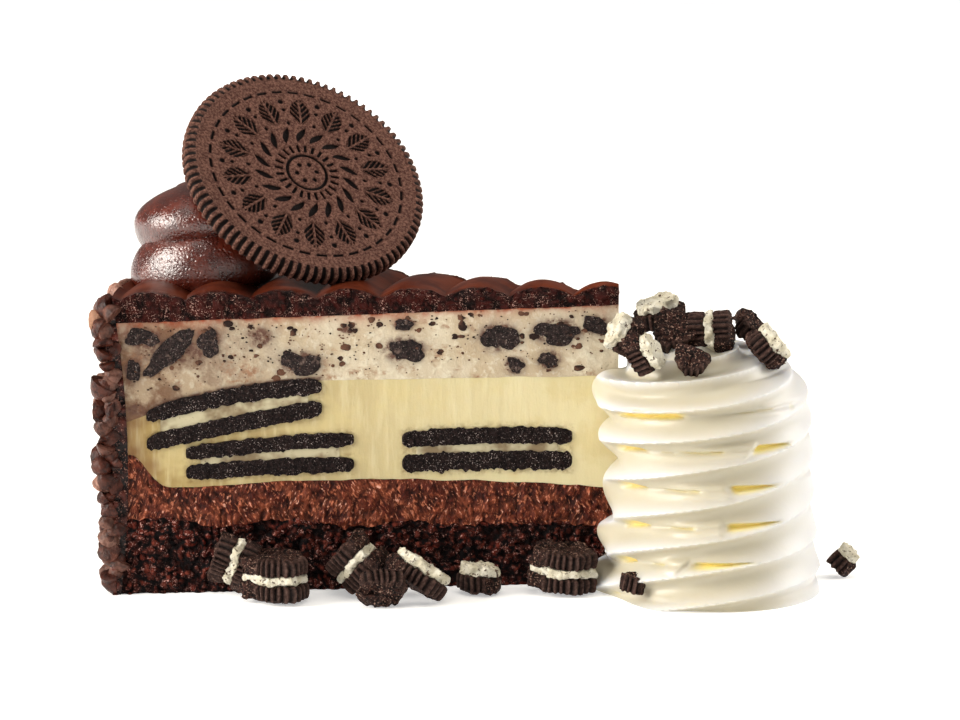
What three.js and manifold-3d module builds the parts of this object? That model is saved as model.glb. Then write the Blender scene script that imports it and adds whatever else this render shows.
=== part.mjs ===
// A served slice of cookies and cream cheesecake. From the bottom up it has a dark crumb base, fudge,
// cheesecake with sandwich cookies in it, cookie mousse and ridged chocolate icing. The rim is coated with
// chocolate chips. A piped rosette holds a leaning cookie, and a tower of whipped cream with broken cookies
// stands at the tip.
// Millimetres, +Z up. X runs along the slice's middle line towards its tip, and the slice stands on Z = 0.
import * as THREE from 'three';
import { mergeVertices } from 'three/addons/utils/BufferGeometryUtils.js';
import Module from 'manifold-3d';

const wasm = await Module();
wasm.setup();

const { lerp, clamp, smoothstep, degToRad } = THREE.MathUtils;

// Slice
const GAP = 0.3;
const HALF_ANGLE = degToRad(18);
const TIP_X = 45;
const TIP_BLUNT = 0.8;
const WALL_RADIUS = 86;
const WALL_WAIST = 85.2;
const ICING_PITCH = 11.06;
const ICING_VALLEY = 50.8;
const ICING_HUMP = 1.4;
const ICING_SWELL = 0.8;
const CAKE_TOP = 60;

// Rim coat
const COAT_RADIUS = 88.6;
const COAT_TOP = 49.6;
const CHIP = { radius: 2.65, height: 3.8, pitch: 5.9, rows: 9, sides: 6, proud: 0.7, tilt: 1.5, seed: 5 };
const CHIP_PROFILE = [[0, -0.5], [0.88, -0.4], [0.86, 0.12], [0, 0.44]];

// Cookies
const COOKIE_RADIUS = 22.5;
const COOKIE_THICKNESS = 3.8;
const COOKIE_CENTRE = [-12.4, 2.3, 69.8];
const COOKIE_NORMAL = [0.5131, -0.5583, 0.6519];
const COOKIE_GAP = 0.2;
const COOKIE_SIDES = 44;
const FILLING_RADIUS = 21;
const BURIED_BEVEL = 0.7;
const BURIED_SIDES = 20;

// Piped shapes
const ROSETTE = {
  x: -29.7, foot: 50.4, height: 18.4, ridge: 10.5, starts: 1, depth: 1.9, columns: 18, rows: 6,
};
const CREAM = { x: 60, foot: 0, height: 43.4, ridge: 4.34, starts: 6, depth: 2.6, columns: 27, rows: 2 };
const CREAM_LEAN = -1.7;
const CROWN_RISE = 0.5;

// Cookies that show at a cut: centre's distance from the tip along that cut, its distance behind the cut, and
// each wafer's height, thickness, rise towards the tip and bend.
const BURIED = {
  tip_cookie: {
    side: 1, along: 23.5, behind: 17.1,
    low: { z: 22.15, thick: 3.3, rise: 0, bend: 0.0008 },
    top: { z: 26.6, thick: 2.9, rise: 0, bend: 0.0022 },
  },
  lower_cookie: {
    side: 1, along: 61, behind: -17.3,
    low: { z: 21.75, thick: 2.5, rise: 0.034, bend: 0.0008 },
    top: { z: 25.75, thick: 2.3, rise: 0.068, bend: 0.0015 },
  },
  upper_cookie: {
    side: 1, along: 67, behind: -16.8,
    low: { z: 29.4, thick: 2.4, rise: 0.19, bend: 0.0011 },
    top: { z: 34.35, thick: 2.3, rise: 0.157, bend: 0.0044 },
  },
  far_cookie: {
    side: -1, along: 69, behind: -17.5,
    low: { z: 24.4, thick: 2.8, rise: -0.05, bend: 0.001 },
    top: { z: 28.9, thick: 2.7, rise: -0.02, bend: 0.001 },
  },
};

// Cookie chunks in the mousse: distance from the tip along the cut, height, length, thickness and slope in
// degrees.
const NEAR_CHUNKS = [
  [82.4, 44.6, 5.6, 3.2, 0], [77.2, 42.1, 10.4, 3.6, 45], [71.1, 43.8, 3.6, 4.4, 0],
  [55.5, 39.7, 6.2, 3.6, -12], [84, 38.9, 2.4, 3.7, 0], [37.8, 41.8, 6.4, 3.9, 0],
  [37.9, 46.2, 3.2, 1.9, 0], [21.5, 43.7, 6.2, 4.4, -15], [11.4, 44.5, 7.6, 3.9, 0],
  [4.4, 45.4, 4.2, 3.2, 0], [18.7, 38.8, 3.1, 2.7, 0], [12.8, 39.6, 3.6, 3, 0],
];
const FAR_CHUNKS = [
  [18.5, 42.6, 5.6, 3.8, 12], [33.5, 40.2, 6.4, 3.6, -20], [47, 44.9, 5.2, 3.4, 0],
  [61.5, 41.2, 7.2, 4, 30], [76, 43.6, 5.4, 4.2, -10],
];
const CHUNK = { behind: 0.4, depth: 2.1, seed: 71 };

// Broken cookies on the cream: centre, reach, layers and turn in degrees about X, Y and Z.
const CREAM_CRUMBS = {
  cream_crumb_back: { at: [50.4, 4.2, 47.4], reach: 4.9, layers: 'open', turn: [8, -14, 20] },
  cream_crumb_left: { at: [46.6, -8, 45.2], reach: 3.9, layers: 'open', turn: [30, -58, 0] },
  cream_crumb_front: { at: [50.7, -14.2, 43], reach: 4, layers: 'open', turn: [12, 66, 0] },
  cream_crumb_middle: { at: [54.2, -4.9, 45.2], reach: 4.6, layers: 'wafer', turn: [55, 8, 0] },
  cream_crumb_upright: { at: [60.6, -3.4, 45.6], reach: 4.6, layers: 'whole', turn: [0, 84, 0] },
  cream_crumb_small: { at: [58.9, -14.4, 41.6], reach: 3.4, layers: 'wafer', turn: [60, 20, 0] },
  cream_crumb_right: { at: [67.2, 1, 45.4], reach: 3.8, layers: 'wafer', turn: [20, 35, 0] },
  cream_crumb_outer: { at: [70.9, -5.4, 43], reach: 4.6, layers: 'open', turn: [16, 48, 30] },
};

// Broken cookies that stand on the table, at the foot of the near cut and round the cream.
const TABLE_CRUMBS = {
  foot_crumb_flat: { at: [-10.6, -24.6], reach: 7.4, layers: 'whole', turn: [0, 0, 0] },
  foot_crumb_leaning: { at: [-18.4, -22.6], reach: 5.3, layers: 'whole', turn: [0, -70, 8] },
  foot_crumb_raised: { at: [2.2, -18.9], reach: 5.8, layers: 'whole', turn: [0, -48, 0] },
  foot_crumb_pair: { at: [13.3, -20.2], reach: 6.4, layers: 'open', turn: [-18, 30, 0] },
  foot_crumb_edge: { at: [8.4, -26.4], reach: 4.9, layers: 'wafer', turn: [-62, 12, 25] },
  foot_crumb_pale: { at: [22.3, -12.8], reach: 4.2, layers: 'open', turn: [0, 4, 0] },
  foot_crumb_ragged: { at: [36.1, -9.4], reach: 6.6, layers: 'whole', turn: [4, 6, 0] },
  stray_crumb_left: { at: [49.4, -15.8, 3.8], reach: 2.4, layers: 'wafer', turn: [0, 10, 0] },
  stray_crumb_right: { at: [83, 11.6], reach: 2.9, layers: 'open', turn: [0, 40, 0] },
};

// Layers of a broken piece, in its own height: from, to and share of the outline.
const CRUMB_LAYERS = {
  whole: [[-3.6, -0.7, 1], [-0.8, 0.8, 0.9], [0.7, 3.6, 0.96]],
  open: [[-2.3, 0.7, 1], [0.6, 2.3, 0.86]],
  wafer: [[-1.6, 1.6, 1]],
};
const CRUMB = { corners: 7, flatness: 0.82, seed: 301 };

const COLOURS = {
  base: ['#2b0d09', 0.85], fudge: ['#57291a', 0.6], cheesecake: ['#ddcd9d', 0.55], mousse: ['#cdbfa4', 0.65],
  icing: ['#43190f', 0.35], coat: ['#51291f', 0.5], wafer: ['#2f231f', 0.85], filling: ['#cfc7ae', 0.7],
  cookie: ['#573c33', 0.8], cream: ['#f1ebdc', 0.5], crumb: ['#3a2822', 0.85],
};

const group = new THREE.Group();

function random(seed) {
  let state = seed;
  return () => {
    state = (state * 1664525 + 1013904223) % 4294967296;
    return state / 4294967296;
  };
}

// Closed solids

function warp(geometry, place) {
  const position = geometry.attributes.position;
  const point = new THREE.Vector3();
  for (let i = 0; i < position.count; i += 1) {
    place(point.fromBufferAttribute(position, i));
    position.setXYZ(i, point.x, point.y, point.z);
  }
  return geometry;
}

function solid(geometry) {
  geometry.deleteAttribute('normal');
  geometry.deleteAttribute('uv');
  const merged = mergeVertices(geometry, 1e-4);
  const corners = [];
  for (let i = 0; i < merged.index.count; i += 3) {
    const [a, b, c] = [0, 1, 2].map((k) => merged.index.getX(i + k));
    if (a !== b && b !== c && c !== a) corners.push(a, b, c);
  }
  return new wasm.Manifold(new wasm.Mesh({
    numProp: 3,
    vertProperties: merged.attributes.position.array,
    triVerts: new Uint32Array(corners),
  }));
}

function largest(manifold) {
  return manifold.decompose().sort((a, b) => b.volume() - a.volume())[0];
}

function without(manifold, others) {
  return others.reduce((rest, other) => rest.subtract(other), manifold);
}

function add(name, manifold, colour) {
  const mesh = largest(manifold).getMesh();
  const geometry = new THREE.BufferGeometry();
  geometry.setAttribute('position', new THREE.BufferAttribute(new Float32Array(mesh.vertProperties), 3));
  geometry.setIndex(new THREE.BufferAttribute(new Uint32Array(mesh.triVerts), 1));
  const [color, roughness] = COLOURS[colour];
  const piece = new THREE.Mesh(geometry, new THREE.MeshStandardMaterial({ color, roughness, metalness: 0 }));
  piece.name = name;
  group.add(piece);
}

// Slice

// The rim's wall curves in at its waist, and each layer's height changes with the distance r from the tip.
const wall = (z) => WALL_WAIST + 1.5 * ((z - 24) / 23) ** 2;
const baseWave = (r) => Math.cos((2 * Math.PI * (r - 59.5)) / 21.5);
const baseTop = (r) => 10.4 + 0.027 * r + 0.9 * (r / WALL_RADIUS) * baseWave(r);
const fudgeTop = (r) => 19.3 - 0.001 * (r - 50) ** 2 + 4.5 * smoothstep(r, 82, 85.5);
const mousseBottom = (r) => 36.7 - 5.9 * (Math.max(0, r - 50) / 35) ** 2;
const icingBottom = (r) => 49 - 0.022 * r;

function icingTop(r, side) {
  const place = (WALL_RADIUS - r) / ICING_PITCH;
  const hump = 1 - (2 * (place - Math.floor(place)) - 1) ** 2;
  return ICING_VALLEY + hump * (ICING_HUMP + ICING_SWELL * (1 - side ** 2));
}

// A block bent into the wedge: x runs from the tip to the rim, y from the far cut to the near one, and z up.
function wedgeBlock(inner, outer, low, high, [along, across, up]) {
  return solid(warp(new THREE.BoxGeometry(1, 1, 1, along, across, up), (p) => {
    const [share, side] = [p.x + 0.5, 2 * p.y];
    const rough = lerp(inner(ICING_VALLEY), outer(ICING_VALLEY), share);
    const z = lerp(low(rough, side), high(rough, side), p.z + 0.5);
    const r = lerp(inner(z), outer(z), share);
    const angle = side * HALF_ANGLE;
    p.set(TIP_X - r * Math.cos(angle), -r * Math.sin(angle), z);
  }));
}

function layer(low, high, segments) {
  const lifted = (r, side) => low(r, side) + GAP / 2;
  const lowered = (r, side) => high(r, side) - GAP / 2;
  return wedgeBlock(() => TIP_BLUNT, wall, lifted, lowered, segments);
}

// The straight-sided wedge that the knife leaves, grown outwards by some amount.
function cutWedge(grow, height) {
  const far = 120;
  const tip = TIP_X + grow / Math.sin(HALF_ANGLE);
  const spread = far * Math.tan(HALF_ANGLE);
  const outline = new THREE.Shape([
    new THREE.Vector2(tip, 0), new THREE.Vector2(tip - far, spread), new THREE.Vector2(tip - far, -spread),
  ]);
  return solid(new THREE.ExtrudeGeometry(outline, { depth: height, bevelEnabled: false }));
}

// Turns a shape drawn at the origin to a cut: x towards the tip, y into the cake.
function atCut(side, along, behind, z) {
  const place = new THREE.Matrix4().makeTranslation(TIP_X, 0, 0);
  place.multiply(new THREE.Matrix4().makeRotationZ(side * HALF_ANGLE));
  return place.multiply(new THREE.Matrix4().makeTranslation(-along, side * behind, z));
}

// Cookies

function disc(radius, thickness, sides) {
  const half = thickness / 2;
  const flat = radius - BURIED_BEVEL;
  const profile = [[0, -half], [flat, -half], [radius, 0], [flat, half], [0, half]];
  const flatDisc = new THREE.LatheGeometry(profile.map(([r, y]) => new THREE.Vector2(r, y)), sides);
  return flatDisc.rotateX(Math.PI / 2);
}

function buriedDisc(cookie, form, radius, grow) {
  const bent = warp(disc(radius + grow, form.thick + 2 * grow, BURIED_SIDES), (p) => {
    p.z += form.rise * p.x - form.bend * p.x ** 2;
  });
  return solid(bent.applyMatrix4(atCut(cookie.side, cookie.along, cookie.behind, form.z)));
}

function between(low, top) {
  return {
    z: (low.z + top.z) / 2,
    thick: top.z - low.z,
    rise: (low.rise + top.rise) / 2,
    bend: (low.bend + top.bend) / 2,
  };
}

// The leaning cookie, with a raised band inside its rim.
function topCookie(grow) {
  const reach = COOKIE_RADIUS + grow;
  const half = COOKIE_THICKNESS / 2 + grow;
  const profile = [
    [0, -half], [reach - 1.2, -half], [reach, -half + 1], [reach, half - 1.1], [reach - 1, half - 0.1],
    [reach - 3.4, half], [reach - 3.8, half - 0.3], [0, half - 0.3],
  ];
  const face = new THREE.LatheGeometry(profile.map(([r, y]) => new THREE.Vector2(r, y)), COOKIE_SIDES);
  const lean = new THREE.Quaternion();
  lean.setFromUnitVectors(new THREE.Vector3(0, 1, 0), new THREE.Vector3(...COOKIE_NORMAL).normalize());
  return solid(face.applyQuaternion(lean).translate(...COOKIE_CENTRE));
}

// A chunk of cookie: a many-sided lump, longer than it is thick, sloping along the cut.
function chunk(side, [along, z, length, thickness, slope], index, grow) {
  const draw = random(CHUNK.seed + index);
  const jitter = Array.from({ length: 20 }, () => 0.88 + 0.24 * draw());
  const lump = new THREE.DodecahedronGeometry(1);
  const seen = [];
  warp(lump, (p) => {
    let k = seen.findIndex((q) => q.distanceTo(p) < 1e-3);
    if (k < 0) k = seen.push(p.clone()) - 1;
    p.multiplyScalar(jitter[k]);
    const depth = Math.min(length / 2, CHUNK.depth);
    p.multiply(new THREE.Vector3(length / 2 + grow, depth + grow, thickness / 2 + grow));
  });
  lump.rotateY(-degToRad(slope));
  return solid(lump.applyMatrix4(atCut(side, along, CHUNK.behind, z)));
}

// Rim coat: an icing shell with chocolate chips pressed into it, row by row.
function rimCoat() {
  const inside = (z) => wall(z) + GAP;
  const core = wedgeBlock(() => TIP_BLUNT, inside, () => 0, () => CAKE_TOP, [1, 9, 5]);
  let coat = wedgeBlock(inside, () => COAT_RADIUS, () => 0, () => COAT_TOP, [1, 9, 5]);
  const draw = random(CHIP.seed);
  const arc = 2 * HALF_ANGLE * COAT_RADIUS;
  const columns = Math.round(arc / CHIP.pitch);
  for (let row = 0; row < CHIP.rows; row += 1) {
    for (let column = 0; column <= columns; column += 1) {
      const size = 0.86 + 0.22 * draw();
      const [radius, height] = [CHIP.radius * size, CHIP.height * size];
      const points = CHIP_PROFILE.map(([r, y]) => new THREE.Vector2(r * radius, y * height));
      const chip = new THREE.LatheGeometry(points, CHIP.sides);
      chip.rotateZ(-Math.PI / 2 + CHIP.tilt * (draw() - 0.5));
      chip.rotateX(2 * Math.PI * draw());
      const share = (column + 0.5 * (row % 2) + 0.3 * (draw() - 0.5)) / columns;
      const angle = lerp(HALF_ANGLE, -HALF_ANGLE, share);
      const z = lerp(CHIP.radius, COAT_TOP - 0.6, row / (CHIP.rows - 1)) + draw() - 0.5;
      chip.rotateZ(Math.PI + angle);
      const r = COAT_RADIUS + CHIP.proud;
      chip.translate(TIP_X - r * Math.cos(angle), -r * Math.sin(angle), z);
      coat = coat.add(solid(chip));
    }
  }
  return coat.subtract(core).intersect(cutWedge(0, CAKE_TOP));
}

// A piped tower. Its rows follow the ridges, which climb with each turn, and are held between foot and crown.
function piped({ x, foot, height, ridge, starts, depth, columns, rows }, radius, groove, lean) {
  const step = ridge / rows;
  const lead = ridge * starts;
  const count = Math.ceil((height + lead) / step);
  const points = [];
  const corners = [];
  for (let row = 0; row <= count; row += 1) {
    for (let column = 0; column <= columns; column += 1) {
      const turn = column / columns;
      const z = clamp(row * step + lead * (turn - 1), 0, height);
      const r = radius(z) - depth * groove(z / ridge - starts * turn);
      const angle = 2 * Math.PI * (turn % 1);
      points.push(x + lean(z) + r * Math.cos(angle), r * Math.sin(angle), foot + z);
      if (row === count || column === columns) continue;
      const first = row * (columns + 1) + column;
      const above = first + columns + 1;
      corners.push(first, first + 1, above + 1, first, above + 1, above);
    }
  }
  const [bottom, crown] = [points.length / 3, points.length / 3 + 1];
  points.push(x, 0, foot, x + lean(height), 0, foot + height + CROWN_RISE);
  for (let column = 0; column < columns; column += 1) {
    const last = count * (columns + 1) + column;
    corners.push(bottom, column + 1, column, crown, last, last + 1);
  }
  const geometry = new THREE.BufferGeometry();
  geometry.setAttribute('position', new THREE.Float32BufferAttribute(points, 3));
  geometry.setIndex(corners);
  return solid(geometry);
}

const dome = (z, full, from, rise) => full * Math.sqrt(1 - clamp((z - from) / rise, 0, 0.98) ** 2);
const rosetteRadius = (z) => dome(z, 13.9 - 0.09 * z, 11, 7.9) - 0.05 * Math.max(0, 3 - z) ** 2;
const creamRadius = (z) => dome(z, 19.5 - 0.03 * z + 0.4 * Math.cos(z / 5), 33, 10.8);
const softGroove = (phase) => 1 - Math.abs(Math.cos(Math.PI * (phase + 0.352))) ** 0.6;
const sharpRidge = (phase) => Math.abs(Math.sin(Math.PI * phase)) ** 0.75;
const creamLean = (z) => CREAM_LEAN * smoothstep(z, 12, 40);

// Broken cookies

function crumb({ reach, layers, turn }, seed, grow) {
  const draw = random(seed);
  const corners = Array.from({ length: CRUMB.corners }, (_, k) => {
    const angle = (2 * Math.PI * (k + 0.5 * (draw() - 0.5))) / CRUMB.corners;
    return [reach * (0.74 + 0.34 * draw()), angle];
  });
  const pieces = CRUMB_LAYERS[layers].map(([from, to, share]) => {
    const outline = new THREE.Shape(corners.map(([r, angle]) => {
      const length = share * r + grow / CRUMB.flatness;
      return new THREE.Vector2(length * Math.cos(angle), CRUMB.flatness * length * Math.sin(angle));
    }));
    const slab = new THREE.ExtrudeGeometry(outline, { depth: to - from + 2 * grow, bevelEnabled: false });
    return solid(slab.translate(0, 0, from - grow));
  });
  return pieces.reduce((whole, piece) => whole.add(piece)).rotate(turn);
}

function grown(manifold, by) {
  const { min, max } = manifold.boundingBox();
  const centre = [0, 1, 2].map((k) => (min[k] + max[k]) / 2);
  const scale = [0, 1, 2].map((k) => 1 + (2 * by) / (max[k] - min[k]));
  return manifold.translate(centre.map((c) => -c)).scale(scale).translate(centre);
}

// Assembly

const cake = cutWedge(0, CAKE_TOP);
const buried = {};
const hollows = [];
for (const [name, cookie] of Object.entries(BURIED)) {
  const wafers = [cookie.low, cookie.top];
  const filling = between(cookie.low, cookie.top);
  const grownWafers = wafers.map((form) => buriedDisc(cookie, form, COOKIE_RADIUS, COOKIE_GAP));
  buried[`${name}_low_wafer`] = [buriedDisc(cookie, cookie.low, COOKIE_RADIUS, 0), 'wafer'];
  buried[`${name}_top_wafer`] = [buriedDisc(cookie, cookie.top, COOKIE_RADIUS, 0), 'wafer'];
  const strip = buriedDisc(cookie, filling, FILLING_RADIUS, 0);
  buried[`${name}_filling`] = [without(strip, grownWafers), 'filling'];
  hollows.push(...grownWafers, buriedDisc(cookie, filling, FILLING_RADIUS, COOKIE_GAP));
}
for (const [name, [piece, colour]] of Object.entries(buried)) add(name, piece.intersect(cake), colour);

const chunks = [
  ...NEAR_CHUNKS.map((form, k) => ['near_chunk', 1, form, k]),
  ...FAR_CHUNKS.map((form, k) => ['far_chunk', -1, form, k]),
];
for (const [name, side, form, k] of chunks) {
  add(`${name}_${k + 1}`, chunk(side, form, k, 0).intersect(cake), 'wafer');
}
const chunkHollows = chunks.map(([, side, form, k]) => chunk(side, form, k, GAP));

const baseHigh = (r) => baseTop(r) - GAP / 2;
const mousse = layer(mousseBottom, icingBottom, [14, 3, 1]);
add('crumb_base', wedgeBlock(() => TIP_BLUNT, wall, () => 0, baseHigh, [20, 3, 1]), 'base');
add('fudge_layer', layer(baseTop, fudgeTop, [20, 3, 1]), 'fudge');
add('cheesecake_layer', without(layer(fudgeTop, mousseBottom, [20, 3, 1]), hollows), 'cheesecake');
add('mousse_layer', without(mousse, [...hollows, ...chunkHollows]), 'mousse');

const icing = layer(icingBottom, icingTop, [47, 3, 1]);
const cookieRoom = topCookie(GAP);
const rosette = piped(ROSETTE, rosetteRadius, softGroove, () => 0);
add('icing_top', without(icing, [cookieRoom]), 'icing');
add('frosting_rosette', without(rosette, [icing, icing.translate([0, 0, GAP]), cookieRoom]), 'icing');
add('rim_coat', without(rimCoat(), [grown(rosette, GAP)]), 'coat');
add('top_cookie', topCookie(0), 'cookie');

// A crumb with no height in its place stands on the table.
const crumbs = Object.entries({ ...CREAM_CRUMBS, ...TABLE_CRUMBS }).map(([name, form], k) => {
  const [x, y, z] = form.at;
  const seed = CRUMB.seed + k;
  const drop = z ?? -crumb(form, seed, 0).boundingBox().min[2];
  return [name, ...[0, GAP].map((grow) => crumb(form, seed, grow).translate([x, y, drop]))];
});
const sliceRoom = cutWedge(GAP, CAKE_TOP);
crumbs.forEach(([name, piece], k) => {
  const earlier = crumbs.slice(0, k).map(([, , room]) => room);
  add(name, without(piece, [sliceRoom, ...earlier]), 'crumb');
});

const cream = piped(CREAM, creamRadius, sharpRidge, creamLean);
add('whipped_cream', without(cream, [sliceRoom, ...crumbs.map(([, , room]) => room)]), 'cream');

export default group;
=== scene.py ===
# %% [markdown]
# A served slice of cookies and cream cheesecake, rebuilt round its solid model. Each piece of the slice is a
# surface worked out by a formula, so a reader can change a size in one place and see the whole piece follow.
# Sizes in this lesson are in millimetres, and they become metres when a mesh is made.

# %% The frame
import itertools

import bpy
import numpy as np
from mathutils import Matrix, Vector


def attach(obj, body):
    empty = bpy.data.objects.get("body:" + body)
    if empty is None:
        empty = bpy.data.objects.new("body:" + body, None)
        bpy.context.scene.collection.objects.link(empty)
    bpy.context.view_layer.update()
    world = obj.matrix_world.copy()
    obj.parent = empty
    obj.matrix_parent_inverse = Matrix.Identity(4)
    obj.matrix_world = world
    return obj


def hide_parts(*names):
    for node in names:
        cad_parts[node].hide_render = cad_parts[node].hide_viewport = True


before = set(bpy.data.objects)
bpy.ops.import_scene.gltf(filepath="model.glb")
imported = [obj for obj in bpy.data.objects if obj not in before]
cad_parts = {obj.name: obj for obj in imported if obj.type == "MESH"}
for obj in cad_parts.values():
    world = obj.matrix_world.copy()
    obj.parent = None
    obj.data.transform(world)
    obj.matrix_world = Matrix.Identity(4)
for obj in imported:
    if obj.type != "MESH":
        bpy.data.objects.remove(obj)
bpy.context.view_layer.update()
MM = 0.001
print("solid model:", len(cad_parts), "nodes")

# %% [markdown]
# Every surface here is a grid of points. A box lattice is the six faces of a block that share their edges, for
# what is cut or laid in slabs. A shell is a grid that closes on itself like a peel, for what is round. Value noise
# gives both their unevenness, and needs no loop over the points.

# %% Grids
def box_lattice(along, across, up):
    """Points of a block's six faces as shares from 0 to 1 along three directions, and its quads, facing out.
    Equal places on two faces get one number, so that the faces share their edges."""
    steps = np.array([along, across, up])
    quads = []
    for axis in range(3):
        first, second = (axis + 1) % 3, (axis + 2) % 3
        for end in (0, steps[axis]):
            place = np.zeros((steps[first] + 1, steps[second] + 1, 3), int)
            place[..., axis] = end
            place[..., first] = np.arange(steps[first] + 1)[:, None]
            place[..., second] = np.arange(steps[second] + 1)[None, :]
            key = (place[..., 0] * (across + 1) + place[..., 1]) * (up + 1) + place[..., 2]
            quad = np.stack([key[:-1, :-1], key[1:, :-1], key[1:, 1:], key[:-1, 1:]], -1).reshape(-1, 4)
            quads.append(quad if end else quad[:, ::-1])
    keys, numbers = np.unique(np.concatenate(quads), return_inverse=True)
    shares = np.stack([keys // ((across + 1) * (up + 1)), keys // (up + 1) % (across + 1), keys % (up + 1)], -1)
    return shares / steps, [numbers.reshape(-1, 4)]


def shell(grid):
    """Points and faces of a peel. Columns join round, and the first and last rows each close to one point."""
    rows, columns = grid.shape[:2]
    points = np.vstack([grid[0].mean(0), grid.reshape(-1, 3), grid[-1].mean(0)])
    at = 1 + np.arange(rows * columns).reshape(rows, columns)
    beside = np.roll(at, -1, axis=1)
    quads = np.stack([at[:-1], beside[:-1], beside[1:], at[1:]], -1).reshape(-1, 4)
    bottom = np.stack([np.zeros(columns, int), beside[0], at[0]], -1)
    top = np.stack([np.full(columns, len(points) - 1), at[-1], beside[-1]], -1)
    return points, [quads, bottom, top]


def joined(parts):
    """One list of points, faces and marks out of several (points, faces, marks), numbered on from each other."""
    starts = np.cumsum([0] + [len(points) for points, _, _ in parts])
    faces = [face + start for (_, faces, _), start in zip(parts, starts) for face in faces]
    marks = {m: np.concatenate([np.broadcast_to(own[m], len(points)) for points, _, own in parts])
             for m in parts[0][2]}
    return np.concatenate([points for points, _, _ in parts]), faces, marks


# %% Noise
def noise(points, size, seed=0):
    """Value noise from -1 to 1: each corner of a cube of that size has a draw, the fraction of a large sine, and
    3t² - 2t³ blends the eight corners in each direction."""
    scaled = points / np.asarray(size, float)
    cell = np.floor(scaled)
    t = scaled - cell
    t = t * t * (3 - 2 * t)
    total = 0
    for corner in itertools.product((0, 1), repeat=3):
        weight = np.prod(np.where(corner, t, 1 - t), axis=-1)
        wave = np.sin((cell + corner) @ (127.1, 311.7, 74.7) + 19.19 * seed) * 43758.5453
        total = total + weight * (wave - np.floor(wave))
    return 2 * total - 1


def rough(points, size, octaves=3, seed=0):
    """Noise added to itself at half the size and 0.55 of the strength, again and again."""
    size = np.asarray(size, float)
    return sum(0.55**k * noise(points, size / 2**k, seed + k) for k in range(octaves))


def smoothstep(value, low, high):
    """0 below low, 1 above high and 3t² - 2t³ between."""
    t = np.clip((value - low) / (high - low), 0, 1)
    return t * t * (3 - 2 * t)


def draws(seed):
    """Even draws between 0 and 1, the same ones as the solids have: state' = (1664525·state + 1013904223) mod 2³²."""
    state = seed
    while True:
        state = (state * 1664525 + 1013904223) % 2**32
        yield state / 2**32


# %% Meshes
def make(name, surface, finish, nodes=(), marks=None, crease=40):
    """One object of a surface in millimetres. Marks are numbers that each point carries for its finish, and edges
    that bend by more than crease degrees stay sharp."""
    points, faces = surface
    corners = np.concatenate([face.ravel() for face in faces])
    counts = np.concatenate([np.full(len(face), face.shape[1]) for face in faces])
    mesh = bpy.data.meshes.new(name)
    mesh.vertices.add(len(points))
    mesh.vertices.foreach_set("co", (points * MM).astype(np.float32).ravel())
    mesh.loops.add(len(corners))
    mesh.loops.foreach_set("vertex_index", corners.astype(np.int32))
    mesh.polygons.add(len(counts))
    mesh.polygons.foreach_set("loop_start", (np.cumsum(counts) - counts).astype(np.int32))
    mesh.update(calc_edges=True)
    mesh.shade_smooth()
    mesh.set_sharp_from_angle(angle=np.radians(crease))
    for mark, values in (marks or {}).items():
        attribute = mesh.attributes.new(mark, "FLOAT", "POINT")
        attribute.data.foreach_set("value", np.broadcast_to(values, len(points)).astype(np.float32))
    mesh.materials.append(finish)
    piece = bpy.data.objects.new(name, mesh)
    bpy.context.collection.objects.link(piece)
    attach(piece, "root")
    if nodes:
        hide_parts(*nodes)
    print(f"{name}: {int((counts - 2).sum())} triangles")
    return piece


# %% [markdown]
# A finish is a Principled shader with patterns for its colour and its bump. The patterns read Object coordinates,
# which are metres here, so each helper takes the size of its grain in millimetres.

# %% Finish helpers
def paint(red, green, blue):
    """A colour as a photograph's 0 to 255 values, turned to the light values that a shader takes."""
    c = np.array([red, green, blue]) / 255
    return (*np.where(c <= 0.04045, c / 12.92, ((c + 0.055) / 1.055) ** 2.4), 1)


def start_finish(name, **sockets):
    """A material, its tree and its shader, with the shader's constant values given by socket."""
    material = bpy.data.materials.new(name)
    material.use_nodes = True
    shader = material.node_tree.nodes["Principled BSDF"]
    for socket, value in sockets.items():
        shader.inputs[socket.replace("_", " ")].default_value = value
    return material, material.node_tree, shader


def add(tree, kind, settings=None, **inputs):
    """A node with its settings, and its inputs linked or set."""
    node = tree.nodes.new(kind)
    for key, value in (settings or {}).items():
        setattr(node, key, value)
    for key, value in inputs.items():
        socket = node.inputs[int(key[1:])] if key[0] == "_" else node.inputs[key.replace("_", " ")]
        if isinstance(value, bpy.types.NodeSocket):
            tree.links.new(value, socket)
        else:
            socket.default_value = value
    return node


def place(tree, stretch=(1, 1, 1), lean=0.0):
    """Object coordinates, leant about Y by an angle and drawn out by a stretch along each axis."""
    coordinates = add(tree, "ShaderNodeTexCoord").outputs["Object"]
    leant = add(tree, "ShaderNodeMapping", Vector=coordinates, Rotation=(0, lean, 0)).outputs[0]
    return add(tree, "ShaderNodeMapping", Vector=leant, Scale=[1 / s for s in stretch]).outputs[0]


def grain(tree, at, size, detail=3, roughness=0.6):
    return add(tree, "ShaderNodeTexNoise", Vector=at, Scale=1 / (size * MM), Detail=detail,
               Roughness=roughness).outputs[0]


def wobble(tree, at, size, most):
    """Noise as a vector, up to a number of millimetres, which bends a pattern that is read with it added."""
    noisy = add(tree, "ShaderNodeTexNoise", Vector=at, Scale=1 / (size * MM), Detail=2).outputs["Color"]
    middle = add(tree, "ShaderNodeVectorMath", {"operation": "SUBTRACT"}, _0=noisy, _1=(0.5, 0.5, 0.5)).outputs[0]
    return add(tree, "ShaderNodeVectorMath", {"operation": "SCALE"}, _0=middle, Scale=2 * most * MM).outputs[0]


def cells(tree, at, size, feature="F1", randomness=1.0):
    settings = {"feature": feature}
    return add(tree, "ShaderNodeTexVoronoi", settings, Vector=at, Scale=1 / (size * MM), Randomness=randomness)


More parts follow.
